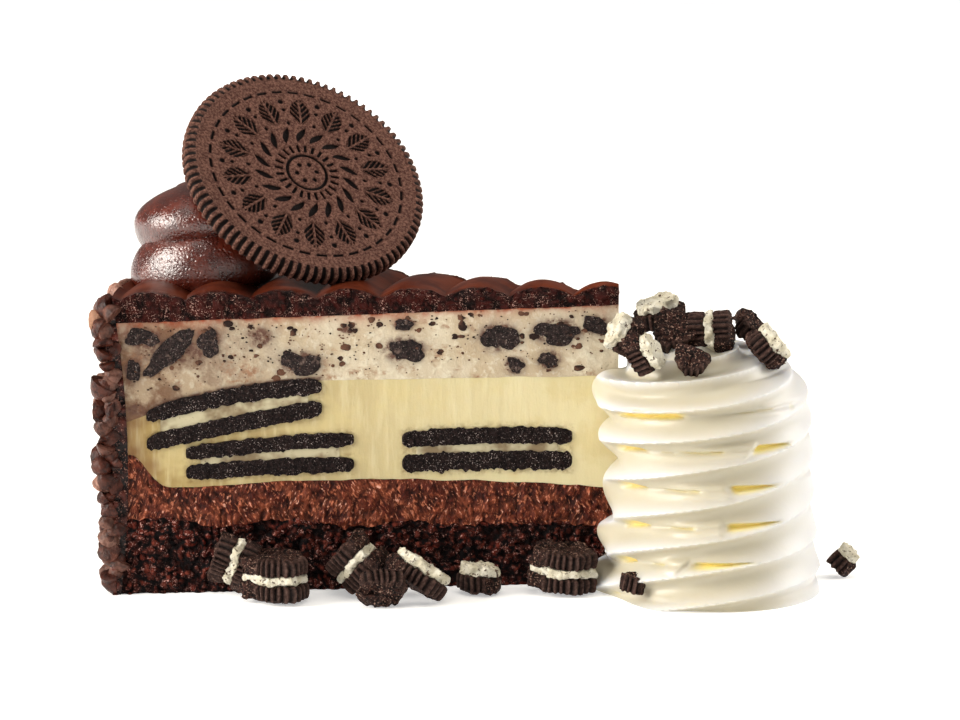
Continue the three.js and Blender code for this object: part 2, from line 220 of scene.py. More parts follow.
def ramp(tree, value, low, high, start=0.0, end=1.0):
    """Spreads the stretch from low to high over start to end, smoothly and held at both ends."""
    settings = {"interpolation_type": "SMOOTHSTEP"}
    return add(tree, "ShaderNodeMapRange", settings, Value=value, From_Min=low, From_Max=high, To_Min=start,
               To_Max=end).outputs[0]


def blend(tree, share, under, over, way="MIX"):
    settings = {"data_type": "RGBA", "blend_type": way}
    return add(tree, "ShaderNodeMix", settings, _0=share, _6=under, _7=over).outputs[2]


def sums(tree, first, second, operation="MULTIPLY"):
    return add(tree, "ShaderNodeMath", {"operation": operation}, _0=first, _1=second).outputs[0]


def mark(tree, name):
    return add(tree, "ShaderNodeAttribute", {"attribute_name": name}).outputs["Fac"]


def bump(tree, height, depth, under=None):
    """A bump of a depth in millimetres, on top of another."""
    node = add(tree, "ShaderNodeBump", Height=height, Strength=1.0, Distance=depth * MM)
    if under is not None:
        tree.links.new(under, node.inputs["Normal"])
    return node.outputs[0]


def wire(tree, shader, **links):
    for socket, value in links.items():
        tree.links.new(value, shader.inputs[socket.replace("_", " ")])


# %% [markdown]
# The view is from a little above the table and to the right of the slice's middle, with a long lens. A pale floor,
# a white surround that only the camera sees and large soft lights keep the studio plain.

# %% Camera
LENS = 100
SENSOR = 36
AIM = Vector((21.41, -7.66, 39.8))
EYE = Vector((115.6, -450.8, 111.6))

camera_data = bpy.data.cameras.new("camera")
camera_data.lens = LENS
camera_data.sensor_width = SENSOR
camera = bpy.data.objects.new("camera", camera_data)
camera.location = EYE * MM
camera.rotation_euler = (AIM - EYE).to_track_quat("-Z", "Y").to_euler()
bpy.context.collection.objects.link(camera)
bpy.context.scene.camera = camera
bpy.context.scene.view_settings.view_transform = "Standard"
print("camera at", [round(c) for c in EYE], "mm")


# %% Studio
FLOOR_HALF = 4000
SURROUND = 6000
WHITE = (1, 1, 1, 1)
WARM = (1, 0.95, 0.88)


def stage_mesh(name, points, faces, material):
    mesh = bpy.data.meshes.new(name)
    mesh.from_pydata((np.array(points, float) * MM).tolist(), [], faces)
    mesh.materials.append(material)
    thing = bpy.data.objects.new(name, mesh)
    bpy.context.collection.objects.link(thing)
    return thing


def studio():
    """A square floor that glows more the farther it is, and a cube round it all that is white for the camera."""
    floor_finish, tree, shader = start_finish("pale_floor", Base_Color=paint(244, 244, 242), Roughness=0.9,
                                              Emission_Color=WHITE)
    away = add(tree, "ShaderNodeVectorMath", {"operation": "LENGTH"}, _0=place(tree)).outputs["Value"]
    wire(tree, shader, Emission_Strength=ramp(tree, away, 0.3, 1.6, 0.4, 1.0))
    f, s = FLOOR_HALF, SURROUND
    stage_mesh("floor", [(-f, -f, -0.05), (f, -f, -0.05), (f, f, -0.05), (-f, f, -0.05)], [(0, 1, 2, 3)],
               floor_finish)
    glow, _, _ = start_finish("white_surround", Base_Color=(0, 0, 0, 1), Emission_Color=WHITE,
                              Emission_Strength=1.0)
    corners = list(itertools.product((-s, s), repeat=3))
    sides = [(0, 1, 3, 2), (4, 6, 7, 5), (0, 4, 5, 1), (2, 3, 7, 6), (0, 2, 6, 4), (1, 5, 7, 3)]
    surround = stage_mesh("surround", corners, sides, glow)
    surround.visible_diffuse = surround.visible_glossy = False
    surround.visible_transmission = surround.visible_shadow = False


def softbox(name, at, towards, size, power):
    """A square light of a size, at a place, facing another."""
    light = bpy.data.lights.new(name, "AREA")
    light.color = WARM
    light.size = size * MM
    light.energy = power
    lamp = bpy.data.objects.new(name, light)
    lamp.location = Vector(at) * MM
    lamp.rotation_euler = (Vector(towards) - Vector(at)).to_track_quat("-Z", "Y").to_euler()
    bpy.context.collection.objects.link(lamp)


def daylight(name, towards, spread, strength):
    """A far light from a direction, as soft as its spread in degrees."""
    light = bpy.data.lights.new(name, "SUN")
    light.color = WARM
    light.angle = np.radians(spread)
    light.energy = strength
    lamp = bpy.data.objects.new(name, light)
    lamp.rotation_euler = Vector(towards).to_track_quat("Z", "Y").to_euler()
    bpy.context.collection.objects.link(lamp)


studio()
MIDDLE = (15, 0, 35)
softbox("key", (-665, -414, 330), MIDDLE, 420, 11)
softbox("right", (640, 160, 330), MIDDLE, 420, 3.9)
daylight("overhead", (0.05, -0.2, 0.95), 50, 1.25)
world = bpy.data.worlds.new("room")
world.use_nodes = True
world.node_tree.nodes["Background"].inputs["Color"].default_value = (*WARM, 1)
world.node_tree.nodes["Background"].inputs["Strength"].default_value = 0.2
bpy.context.scene.world = world
print("studio: floor, surround, two softboxes and daylight from above")

# %% [markdown]
# The slice is a wedge of 36 degrees. Its places are given by r, the distance from the tip, by side, which runs from
# -1 at the far cut to 1 at the near one, and by the height z. The layers' heights are formulas of r with a little
# noise, and two layers that meet share the formula, so that no gap shows between them.

# %% The slice's shape
HALF = np.radians(18)
TIP_X = 45.0
TIP_BLUNT = 0.8
WALL = 86.0
ICING_VALLEY = 50.8
ICING_PITCH = 11.06
ALONG = 280


def wall(z):
    """The rim's wall under its coat, waisted by a parabola."""
    return 85.2 + 1.5 * ((z - 24) / 23) ** 2


def uneven(r, side, size, seed):
    """Noise over the plan of the slice."""
    angle = side * HALF
    return rough(np.stack([r * np.cos(angle), r * np.sin(angle), np.zeros_like(r)], -1), size, 3, seed)


def base_top(r, side):
    """A gentle rise and wave, ragged by crumbs."""
    wave = np.cos(2 * np.pi * (r - 59.5) / 21.5)
    return 10.4 + 0.027 * r + 0.9 * r / WALL * wave + 0.6 * uneven(r, side, 2.6, 11)


def fudge_top(r, side):
    """A low arch that curls up against the coat."""
    curl = 6.5 * smoothstep(r, 77.5, 87) ** 2.2
    return 19.3 - 0.001 * (r - 50) ** 2 + curl + 0.18 * uneven(r, side, 5, 12)


def mousse_bottom(r, side):
    return 36.7 - 5.9 * (np.maximum(0, r - 50) / 35) ** 2 + 0.12 * uneven(r, side, 6, 13)


def icing_bottom(r, side):
    return 49 - 0.022 * r + 0.1 * uneven(r, side, 3, 14)


def icing_top(r, side):
    """Beads piped side by side round the tip: each is a parabola, higher behind the cuts."""
    bead = (WALL - r) / ICING_PITCH
    hump = 1 - (2 * (bead - np.floor(bead)) - 1) ** 2
    ragged = 0.06 * uneven(r, side, 4, 15) + 0.3 * smoothstep(np.abs(side), 0.9, 1) * uneven(r, side, 1.6, 16)
    return ICING_VALLEY + hump * (1.4 + 0.8 * (1 - side**2)) + ragged


def in_slice(r, side, z):
    angle = side * HALF
    return np.stack([TIP_X - r * np.cos(angle), -r * np.sin(angle), z], -1)


def outwards(side):
    """The directions out of a cut, and along it to the right as seen from outside."""
    out = np.array([np.sin(HALF), -side * np.cos(HALF), 0])
    return out, np.cross((0, 0, 1), out)


def layer(low, high, across, up, relief, inner=None, outer=wall, along=ALONG):
    """A block bent into the wedge between two heights, with its cut faces moved out by relief(points). Its marks
    are r, side and z, and raised, which is the relief at the cuts."""
    shares, quads = box_lattice(along, across, up)
    u, side, w = shares[:, 0], 2 * shares[:, 1] - 1, shares[:, 2]
    inner = inner or (lambda z: np.full_like(z, TIP_BLUNT))
    guess = inner(u * 0 + ICING_VALLEY) * (1 - u) + outer(u * 0 + ICING_VALLEY) * u
    z = low(guess, side) * (1 - w) + high(guess, side) * w
    r = inner(z) * (1 - u) + outer(z) * u
    points = in_slice(r, side, z)
    raised = np.where(np.abs(side) == 1, relief(points), 0)
    for cut in (-1, 1):
        here = side == cut
        points[here] += outwards(cut)[0] * raised[here][:, None]
    return (points, quads), {"r": r, "side": side, "z": z, "raised": raised}


# %% [markdown]
# The base is a moist, almost black crumb. Its cut is torn rather than smooth, so the mesh has lumps of two sizes,
# and cells in the bump make the single crumbs. A varied roughness gives the small wet glints, and they are also
# painted into the colour as painted highlights. The gaps between the crumbs and the dips of the cut are painted
# shade, almost black.

# %% Crumb base
def base_finish():
    finish, tree, shader = start_finish("moist_black_crumb", Specular_IOR_Level=0.1)
    at = place(tree)
    crumbs = cells(tree, add(tree, "ShaderNodeVectorMath", {"operation": "ADD"}, _0=at,
                             _1=wobble(tree, at, 1.3, 0.6)).outputs[0], 0.95)
    away, lot = crumbs.outputs["Distance"], add(tree, "ShaderNodeSeparateColor", _0=crumbs.outputs["Color"])
    crumb = blend(tree, lot.outputs[0], paint(30, 6, 5), paint(112, 50, 38))
    crumb = blend(tree, ramp(tree, grain(tree, at, 5, 2), 0.45, 0.65, 0, 0.6), crumb, paint(92, 26, 15))
    # Painted shade: near black in the gaps between crumbs and where the cut dips.
    depth = sums(tree, ramp(tree, away, 0.75, 0.35), ramp(tree, mark(tree, "raised"), -0.4, 0.0, 0.15, 1))
    colour = blend(tree, depth, paint(4, 0, 1), crumb)
    # Painted highlight: small pale glints on the crumbs, with less roughness there.
    painted_glint = sums(tree, ramp(tree, grain(tree, at, 0.28, 2), 0.55, 0.64), ramp(tree, lot.outputs[1], 0.2, 0.8))
    colour = blend(tree, sums(tree, painted_glint, depth), colour, paint(214, 166, 156))
    normal = bump(tree, ramp(tree, away, 0.75, 0.1), 0.4)
    normal = bump(tree, grain(tree, at, 0.3, 3), 0.3, normal)
    wire(tree, shader, Base_Color=colour, Normal=normal, Roughness=ramp(tree, painted_glint, 0, 1, 0.6, 0.3))
    return finish


def base_relief(points):
    """Lumps of 2.2 and of 1.1 mm, parted by creases because noise is taken without its sign."""
    return 0.3 * rough(points, 2.2, 2, 21) + 0.8 * np.abs(noise(points, 1.1, 23)) + 0.3 * noise(points, 0.6, 24) - 0.4


def base_inner(z):
    """The base stops short of the tip below the fudge."""
    return TIP_BLUNT + 2.2 * smoothstep(10.5 - z, 0, 5)


surface, at = layer(lambda r, side: 0 * r, base_top, 5, 45, base_relief, inner=base_inner)
make("base_sponge", surface, base_finish(), ["crumb_base"], {"raised": at["raised"]})


# %% [markdown]
# The fudge is a reddish-brown grain that the knife has dragged a little, so its grain is taller than it is wide.
# Its dips and low strokes are painted shade, almost black, and its high strokes carry painted highlights.

# %% Fudge
def fudge_finish():
    finish, tree, shader = start_finish("moist_fudge", Specular_IOR_Level=0.15)
    at = place(tree)
    left = grain(tree, place(tree, (1, 1, 2.6), 0.5), 0.42, 3)
    right = grain(tree, place(tree, (1, 1, 2.6), -0.35), 0.42, 3)
    strokes = add(tree, "ShaderNodeMix", _0=ramp(tree, grain(tree, at, 4, 2), 0.42, 0.58), _2=left, _3=right).outputs[0]
    colour = blend(tree, ramp(tree, grain(tree, at, 3), 0.38, 0.65), paint(78, 26, 14), paint(124, 60, 38))
    # Painted shade: near black where the cut dips and in the low strokes.
    low = sums(tree, ramp(tree, mark(tree, "raised"), -0.35, 0.1, 0.25, 1), ramp(tree, strokes, 0.36, 0.5, 0.35, 1))
    colour = blend(tree, low, paint(14, 1, 1), colour)
    # Painted highlight: the high strokes lighten, and pale painted glints lie on them.
    colour = blend(tree, ramp(tree, strokes, 0.54, 0.64, 0, 0.75), colour, paint(198, 118, 86))
    painted_glint = sums(tree, ramp(tree, strokes, 0.58, 0.66), ramp(tree, grain(tree, at, 1.6, 2), 0.5, 0.62))
    colour = blend(tree, painted_glint, colour, paint(222, 172, 152))
    normal = bump(tree, strokes, 0.5)
    wire(tree, shader, Base_Color=colour, Normal=normal, Roughness=ramp(tree, strokes, 0.3, 0.7, 0.55, 0.3))
    return finish


def fudge_relief(points):
    """Creased grain of 0.9 mm, drawn out upwards, on waves of 4 mm."""
    torn = (0.9, 0.9, 1.5)
    return 0.5 * np.abs(noise(points, torn, 31)) + 0.22 * rough(points, (0.6, 0.6, 0.9), 2, 32) + 0.15 * noise(points, 4, 33) - 0.22


surface, at = layer(base_top, fudge_top, 5, 33, fudge_relief)
make("fudge_body", surface, fudge_finish(), ["fudge_layer"], {"raised": at["raised"]})

# %% [markdown]
# Whole sandwich cookies lie in the cheesecake, and the knife went through them. Each wafer is the part of a disc
# that lies inside the wedge: a block lattice whose width at a depth behind the cut is the disc's chord there. The
# discs sag, so their height is rise·x - bend·x², with x towards the tip.

# %% Buried cookies
COOKIE_RADIUS = 22.5
FILLING_RADIUS = 21.0
BURIED = {
    "tip_cookie": (1, 23.5, 17.1, (22.15, 3.3, 0, 0.0008), (26.6, 2.9, 0, 0.0022)),
    "lower_cookie": (1, 61, -17.3, (21.75, 2.5, 0.034, 0.0008), (25.75, 2.3, 0.068, 0.0015)),
    "upper_cookie": (1, 67, -16.8, (29.4, 2.4, 0.19, 0.0011), (34.35, 2.3, 0.157, 0.0044)),
    "far_cookie": (-1, 69, -17.5, (24.4, 2.8, -0.05, 0.001), (28.9, 2.7, -0.02, 0.001)),
}
FULLER = {"tip_cookie": 1.0, "lower_cookie": 1.12, "upper_cookie": 1.24, "far_cookie": 1.05}


def between(low, top):
    """The filling's form: half way between two wafers, and as thick as the way from one's middle to the other's."""
    return ((low[0] + top[0]) / 2, top[0] - low[0], (low[2] + top[2]) / 2, (low[3] + top[3]) / 2)


def at_cut(side, along, depth, z):
    """A point at a distance from the tip along a cut, at a depth behind it and at a height."""
    out, _ = outwards(side)
    run = np.array([-np.cos(HALF), -side * np.sin(HALF), 0])
    flat = along[:, None] * run - depth[:, None] * out
    return flat + np.stack([np.full_like(z, TIP_X), 0 * z, z], -1)


def buried_disc(side, along, behind, form, radius, proud, bumps, seed, fuller):
    """The share of a sagging disc inside the wedge, with bumpy faces, ends rounded by a power of 14 and its cut
    face standing proud. A disc that crosses the slice is cut flat at the far cut too, where depth = reach·tan 36°.
    fuller is how much thicker it looks than its solid, which keeps clear of its neighbours."""
    height, thick, rise, bend = form
    crosses = behind > 0
    shares, quads = box_lattice(200, 16 if crosses else 4, 9)
    u = 0.5 - 0.5 * np.cos(np.pi * shares[:, 0])
    inward = 1 - shares[:, 1] if side > 0 else shares[:, 1]
    deepest = min(radius + behind, 29.8) - 0.05
    depth = deepest * (0.5 - 0.5 * np.cos(np.pi * inward) if crosses else inward**1.8)
    chord = np.sqrt(np.maximum(0, radius**2 - (depth - behind) ** 2))
    far_cut = depth / np.tan(2 * HALF) - proud / np.sin(2 * HALF)
    least = np.maximum(along - chord, np.minimum(far_cut, along + chord))
    reach = least * (1 - u) + (along + chord) * u
    x = along - reach
    flat = np.stack([reach, depth, 0 * reach + height], -1)
    end = np.maximum(0, 1 - np.abs(2 * u - 1) ** 14) ** 0.3
    if crosses:
        clipped = smoothstep(far_cut - (along - chord), 0, 0.5) * (u < 0.5)
        end = (end * (1 - clipped) + clipped) * np.maximum(0, 1 - (depth / deepest) ** 40) ** 0.3
    upper = np.where(shares[:, 2] > 0.5, 1.0, 0.0)
    swell = fuller * end + bumps * end * rough(flat + 50 * upper[:, None], (0.7, 1.2, 2), 2, seed)
    z = height + rise * x - bend * x**2 + (shares[:, 2] - 0.5) * thick * swell
    cut = proud + 0.6 * bumps * rough(np.stack([reach, 0 * z, z], -1), 0.6, 2, seed + 5)
    points = at_cut(side, reach, np.where(inward == 0, -cut, depth), z)
    return points, quads


def wafer_finish():
    """Almost black, with clusters of fine pale sparkles, which are painted highlights."""
    finish, tree, shader = start_finish("moist_black_wafer", Specular_IOR_Level=0.12)
    at = place(tree)
    flecks = grain(tree, at, 0.5, 4, 0.7)
    colour = blend(tree, ramp(tree, flecks, 0.4, 0.68), paint(6, 1, 2), paint(36, 21, 19))
    # Painted highlight: clusters of fine pale sparkles.
    painted_sparkle = sums(tree, ramp(tree, grain(tree, at, 0.24, 2), 0.61, 0.69), ramp(tree, grain(tree, at, 3, 3), 0.42, 0.6, 0.2, 1))
    colour = blend(tree, painted_sparkle, colour, paint(190, 174, 168))
    normal = bump(tree, grain(tree, at, 0.4, 4, 0.7), 0.4)
    wire(tree, shader, Base_Color=colour, Normal=normal, Roughness=ramp(tree, flecks, 0.35, 0.7, 0.7, 0.4))
    return finish


def filling_finish():
    finish, tree, shader = start_finish("soft_filling", Roughness=0.5, Specular_IOR_Level=0.3)
    at = place(tree)
    colour = blend(tree, ramp(tree, grain(tree, at, 5), 0.4, 0.6), paint(128, 110, 82), paint(184, 175, 144))
    colour = blend(tree, ramp(tree, grain(tree, at, 0.6, 2), 0.64, 0.74, 0, 0.6), colour, paint(96, 78, 60))
    wire(tree, shader, Base_Color=colour, Normal=bump(tree, grain(tree, at, 0.9), 0.12))
    return finish


wafer, filling = wafer_finish(), filling_finish()
for k, (name, (side, along, behind, low, top)) in enumerate(BURIED.items()):
    for part, form in (("low_wafer", low), ("top_wafer", top)):
        surface = buried_disc(side, along, behind, form, COOKIE_RADIUS, 0.35, 0.2, 100 + 10 * k, FULLER[name])
        make(f"{name}_{part}_cut", surface, wafer, [f"{name}_{part}"])
    surface = buried_disc(side, along, behind, between(low, top), FILLING_RADIUS, 0.17, 0.02, 105 + 10 * k, 0.9)
    make(f"{name}_filling_cut", surface, filling, [f"{name}_filling"])


# %% [markdown]
# Cheesecake is dense and smooth. Only faint streaks from the knife show on it, and it is stained a little where it
# touches the cookies and the coat. The stain is a mark that each point of the mesh carries: it falls off with the
# distance from each wafer's line.

# %% Cheesecake
def wafer_stain(r, z, side):
    """1 beside a buried wafer on the same cut, falling off over half a millimetre."""
    stain = np.zeros_like(r)
    for own, along, behind, *forms in BURIED.values():
        chord = np.sqrt(COOKIE_RADIUS**2 - behind**2)
        for height, thick, rise, bend in forms:
            x = along - r
            off = np.abs(z - height - rise * x + bend * x**2) - thick / 2
            past = np.maximum(0, np.abs(x) - chord)
            near = np.exp(-np.maximum(0, np.hypot(np.maximum(0, off - 0.3), past) - 0.1) / 0.28)
            stain = np.maximum(stain, np.where(side == own, near, 0))
    return stain


def cheesecake_finish():
    finish, tree, shader = start_finish("pale_cheesecake", Roughness=0.45, Specular_IOR_Level=0.3,
                                        Subsurface_Weight=0.2, Subsurface_Radius=(3, 1.8, 0.8), Subsurface_Scale=MM)
    at = place(tree)
    streaks = grain(tree, place(tree, (1, 1, 7)), 1.3, 3)
    colour = blend(tree, mark(tree, "near_tip"), paint(162, 138, 84), paint(216, 204, 161))
    colour = blend(tree, ramp(tree, streaks, 0.45, 0.7, 0, 0.35), colour, paint(224, 214, 174))
    colour = blend(tree, ramp(tree, grain(tree, at, 7, 3), 0.45, 0.65, 0, 0.6), colour, paint(206, 190, 138))
    colour = blend(tree, mark(tree, "shade"), colour, paint(112, 74, 40))
    stained = sums(tree, mark(tree, "stain"), ramp(tree, grain(tree, at, 1.1), 0.4, 0.7, 0, 0.6))
    colour = blend(tree, stained, colour, paint(126, 96, 54))
    normal = bump(tree, streaks, 0.1)
    normal = bump(tree, grain(tree, at, 0.5), 0.04, normal)
    wire(tree, shader, Base_Color=colour, Normal=normal)
    return finish


def cheesecake_relief(points):
    """Shallow dents of 5 mm and streaks down the cut."""
    return 0.03 * rough(points, (1.6, 1.6, 14), 2, 41) + 0.04 * noise(points, 5, 43) - 0.03


surface, at = layer(fudge_top, mousse_bottom, 5, 32, cheesecake_relief)
r, side, z = at["r"], at["side"], at["z"]
shade = smoothstep(r + 1.6 * rough(surface[0], 2.5, 3, 44) + 0.4 * np.maximum(0, 26 - z), 79, 88)
make("cheesecake_body", surface, cheesecake_finish(), ["cheesecake_layer"],
     {"shade": shade, "stain": wafer_stain(r, z, side), "near_tip": smoothstep(-r, -84, -8)})

# %% [markdown]
# Broken cookies are folded into the mousse. Those that show at a cut are lumps, flattened where the knife took
# them off: a shell of directions, with radii from the lump's three half sizes and noise, whose front is clipped.
# Round each one the mousse is stained, and fine crumbs speckle all of it.

# %% Chunks in the mousse
NEAR_CHUNKS = [
    (82.4, 44.6, 5.6, 3.2, 0), (77.2, 42.1, 10.4, 3.6, 45), (71.1, 43.8, 3.6, 4.4, 0), (55.5, 39.7, 6.2, 3.6, -12),
    (84, 38.9, 2.4, 3.7, 0), (37.8, 41.8, 6.4, 3.9, 0), (37.9, 46.2, 3.2, 1.9, 0), (21.5, 43.7, 6.2, 4.4, -15),
    (11.4, 44.5, 7.6, 3.9, 0), (4.4, 45.4, 4.2, 3.2, 0), (18.7, 38.8, 3.1, 2.7, 0), (12.8, 39.6, 3.6, 3, 0),
]
FAR_CHUNKS = [
    (18.5, 42.6, 5.6, 3.8, 12), (33.5, 40.2, 6.4, 3.6, -20), (47, 44.9, 5.2, 3.4, 0), (61.5, 41.2, 7.2, 4, 30),
    (76, 43.6, 5.4, 4.2, -10),
]
SMUDGES = [(1, 62.6, 44.4, 3.6, 2.8, 0), (1, 83.5, 32.2, 2.6, 1.6, 0), (1, 47.5, 45.4, 2.2, 1.2, 0), (-1, 55, 44.5, 3, 2, 0)]
FINE_CRUMBS = 520
CHUNKS = [(1, *form) for form in NEAR_CHUNKS] + [(-1, *form) for form in FAR_CHUNKS]


def chunk(side, along, z, length, thick, slope, seed):
    """A lump of directions d with radius 1 + noise, stretched, turned by its slope and clipped at the cut."""
    polar = np.linspace(0.02, np.pi - 0.02, 24)[:, None]
    turn = np.linspace(0, 2 * np.pi, 44, endpoint=False)[None, :]
    d = np.stack([np.sin(polar) * np.cos(turn), np.sin(polar) * np.sin(turn), -np.cos(polar) + 0 * turn], -1)
    lump = d * (1 + 0.36 * rough(d, (0.8, 0.8, 1.6), 4, seed))[..., None]
    across, up, out = lump[..., 0] * length / 2, lump[..., 1] * thick / 2, lump[..., 2] * min(length / 2, 2.1)
    slant = np.radians(slope) * side
    across, up = across * np.cos(slant) - up * np.sin(slant), across * np.sin(slant) + up * np.cos(slant)
    out = np.minimum(out - 0.4, 0.1 + 0.07 * rough(np.stack([across, up, 0 * up], -1), 0.7, 2, seed + 3))
    outward, right = outwards(side)
    middle = in_slice(np.array(along), side, np.array(z))
    return shell(middle + across[..., None] * right + up[..., None] * (0, 0, 1) + out[..., None] * outward)


def chunk_finish():
    """The wafer's black, browner, with the mousse smeared over it in places."""
    finish, tree, shader = start_finish("chunk_in_mousse", Specular_IOR_Level=0.18)
    at = place(tree)
    flecks = grain(tree, at, 0.5, 4, 0.7)
    colour = blend(tree, ramp(tree, flecks, 0.4, 0.68), paint(14, 6, 6), paint(54, 38, 36))
    colour = blend(tree, ramp(tree, grain(tree, at, 1.5, 3, 0.65), 0.55, 0.72, 0, 0.75), colour, paint(112, 92, 84))
    # Painted highlight: fine pale sparkles.
    colour = blend(tree, ramp(tree, grain(tree, at, 0.26, 2), 0.62, 0.7, 0, 0.8), colour, paint(150, 136, 130))
    wire(tree, shader, Base_Color=colour, Normal=bump(tree, flecks, 0.4), Roughness=ramp(tree, flecks, 0.35, 0.7, 0.7, 0.4))
    return finish


dark_chunk = chunk_finish()
for k, (side, *form) in enumerate(CHUNKS):
    node = f"near_chunk_{k + 1}" if side > 0 else f"far_chunk_{k + 1 - len(NEAR_CHUNKS)}"
    make(f"{node}_cut", chunk(side, *form, 200 + 7 * k), dark_chunk, [node])


def speck_finish():
    finish, tree, shader = start_finish("brown_speck", Specular_IOR_Level=0.18, Roughness=0.6)
    at = place(tree)
    colour = blend(tree, ramp(tree, grain(tree, at, 2.5, 3), 0.4, 0.62), paint(34, 18, 14), paint(98, 66, 50))
    wire(tree, shader, Base_Color=colour, Normal=bump(tree, grain(tree, at, 0.4), 0.2))
    return finish


def fine_crumbs():
    """Small crumbs pressed into both cuts: squashed lumps with radius 1 + noise, of 0.2 to 1.5 mm, few of them large."""
    turn = np.linspace(0, 2 * np.pi, 10, endpoint=False)[None, :]
    rise = np.array([-0.9, -0.3, 0.5, 0.9])[:, None]
    ball = np.stack([np.sqrt(1 - rise**2) * np.cos(turn), np.sqrt(1 - rise**2) * np.sin(turn), rise + 0 * turn], -1)
    draw, parts = draws(77), []
    for k in range(FINE_CRUMBS):
        side = 1 if next(draw) < 0.7 else -1
        r, share, size = 3 + 81 * next(draw), next(draw), 0.1 + 0.5 * next(draw) ** 6
        low, high = mousse_bottom(np.array([r]), side)[0], icing_bottom(np.array([r]), side)[0]
        outward, right = outwards(side)
        flat = (size * (1 + 0.7 * next(draw)), size, 0.09)
        lump = ball * (1 + 0.6 * noise(ball, 0.7, k))[..., None] * flat
        middle = in_slice(r, side, low + 0.5 + (high - low - 1.2) * share**0.7)
        points = middle + lump[..., :1] * right + lump[..., 1:2] * (0, 0, 1) + lump[..., 2:] * outward
        parts.append((*shell(points), {"k": 0.0}))
    points, faces, _ = joined(parts)
    return points, faces


make("crumbs_in_mousse", fine_crumbs(), speck_finish())


# %% Cookie mousse
def chunk_stain(r, z, side):
    """1 at a chunk's edge on the same cut, falling off over about a millimetre, and 1 where a chunk lies just below."""
    stain = np.zeros_like(r)
    for own, along, height, length, thick, _ in CHUNKS + SMUDGES:
        away = np.hypot((r - along) / (length / 2), (z - height) / (thick / 2)) - 1
        stain = np.maximum(stain, np.where(side == own, np.exp(-np.maximum(0, away) / 0.35), 0))
    return stain


def mousse_finish():
    finish, tree, shader = start_finish("cookie_mousse", Roughness=0.45, Specular_IOR_Level=0.3,
                                        Subsurface_Weight=0.12, Subsurface_Radius=(2, 1.4, 0.9), Subsurface_Scale=MM)
    at = place(tree)
    veins = grain(tree, place(tree, (1.7, 1.7, 1)), 3.4, 5, 0.7)
    curds = grain(tree, at, 1.3, 4, 0.65)
    colour = blend(tree, ramp(tree, grain(tree, at, 8, 3), 0.38, 0.62), paint(186, 168, 140), paint(204, 192, 168))
    colour = blend(tree, ramp(tree, curds, 0.5, 0.66, 0, 0.65), colour, paint(220, 212, 190))
    murky = sums(tree, mark(tree, "near_rim"), ramp(tree, grain(tree, at, 4, 4), 0.4, 0.6, 0.4, 1))
    colour = blend(tree, murky, colour, paint(108, 76, 52))
    colour = blend(tree, sums(tree, ramp(tree, veins, 0.52, 0.68, 0, 0.85), ramp(tree, curds, 0.58, 0.44)), colour,
                   paint(142, 100, 72))
    stained = sums(tree, mark(tree, "stain"), ramp(tree, curds, 0.35, 0.6, 0.3, 1))
    colour = blend(tree, stained, colour, paint(92, 62, 50))
    smear = sums(tree, mark(tree, "smear"), ramp(tree, grain(tree, at, 2), 0.4, 0.6, 0.5, 1))
    colour = blend(tree, smear, colour, paint(148, 62, 28))
    flecks = cells(tree, at, 0.8)
    lot = add(tree, "ShaderNodeSeparateColor", _0=flecks.outputs["Color"]).outputs[0]
    spot = add(tree, "ShaderNodeMath", {"operation": "LESS_THAN"}, _0=flecks.outputs["Distance"],
               _1=ramp(tree, lot, 0.5, 1, 0.0, 0.2)).outputs[0]
    colour = blend(tree, sums(tree, spot, ramp(tree, veins, 0.42, 0.55, 0.3, 0.9)), colour, paint(84, 52, 38))
    normal = bump(tree, curds, 0.25)
    wire(tree, shader, Base_Color=colour, Normal=normal)
    return finish


def mousse_relief(points):
    """Soft dents of 3 mm and small pits."""
    return 0.07 * rough(points, 2.6, 3, 51) - 0.15 * np.maximum(0, noise(points, 0.8, 53) - 0.5) - 0.05


surface, at = layer(mousse_bottom, icing_bottom, 5, 42, mousse_relief)
r, side, z = at["r"], at["side"], at["z"]
below = icing_bottom(r, side) - z
smear = np.exp(-below / (0.8 + 0.4 * rough(surface[0] * (1, 1, 0), 3, 2, 54)))
make("mousse_body", surface, mousse_finish(), ["mousse_layer"],
     {"stain": np.maximum(chunk_stain(r, z, side), wafer_stain(r, z, side)), "smear": smear,
      "near_rim": smoothstep(r, 44, 84)})


# %% [markdown]
# The icing is piped in beads round the tip. Behind the cut it is smooth and satin, and the cut itself is granular
# and sparkles, so each point carries a mark that says how near the cut it is. The sparkles on the cut are painted
# highlights, and the cut's dips are painted shade.

# %% Icing
def icing_finish():
    finish, tree, shader = start_finish("dark_icing", Specular_IOR_Level=0.1)
    at = place(tree)
    cut, raised = mark(tree, "cut"), mark(tree, "raised")
    fine = grain(tree, at, 0.24, 3, 0.7)
    smooth = blend(tree, ramp(tree, grain(tree, at, 6), 0.35, 0.65), paint(70, 26, 13), paint(98, 44, 25))
    # Painted shade: the cut is near black where it dips.
    torn = blend(tree, ramp(tree, raised, -0.2, 0.2), paint(12, 1, 1), paint(60, 15, 9))
    # Painted highlight: pale glints on the cut.
    painted_glint = sums(tree, ramp(tree, fine, 0.57, 0.63), ramp(tree, grain(tree, at, 1.6, 2), 0.44, 0.64, 0.05, 0.9))
    torn = blend(tree, painted_glint, torn, paint(234, 186, 170))
    colour = blend(tree, cut, smooth, torn)
    normal = bump(tree, sums(tree, fine, cut), 0.5, bump(tree, grain(tree, at, 1.2), 0.03))
    wire(tree, shader, Base_Color=colour, Normal=normal, Roughness=ramp(tree, cut, 0, 1, 0.38, 0.3))
    return finish


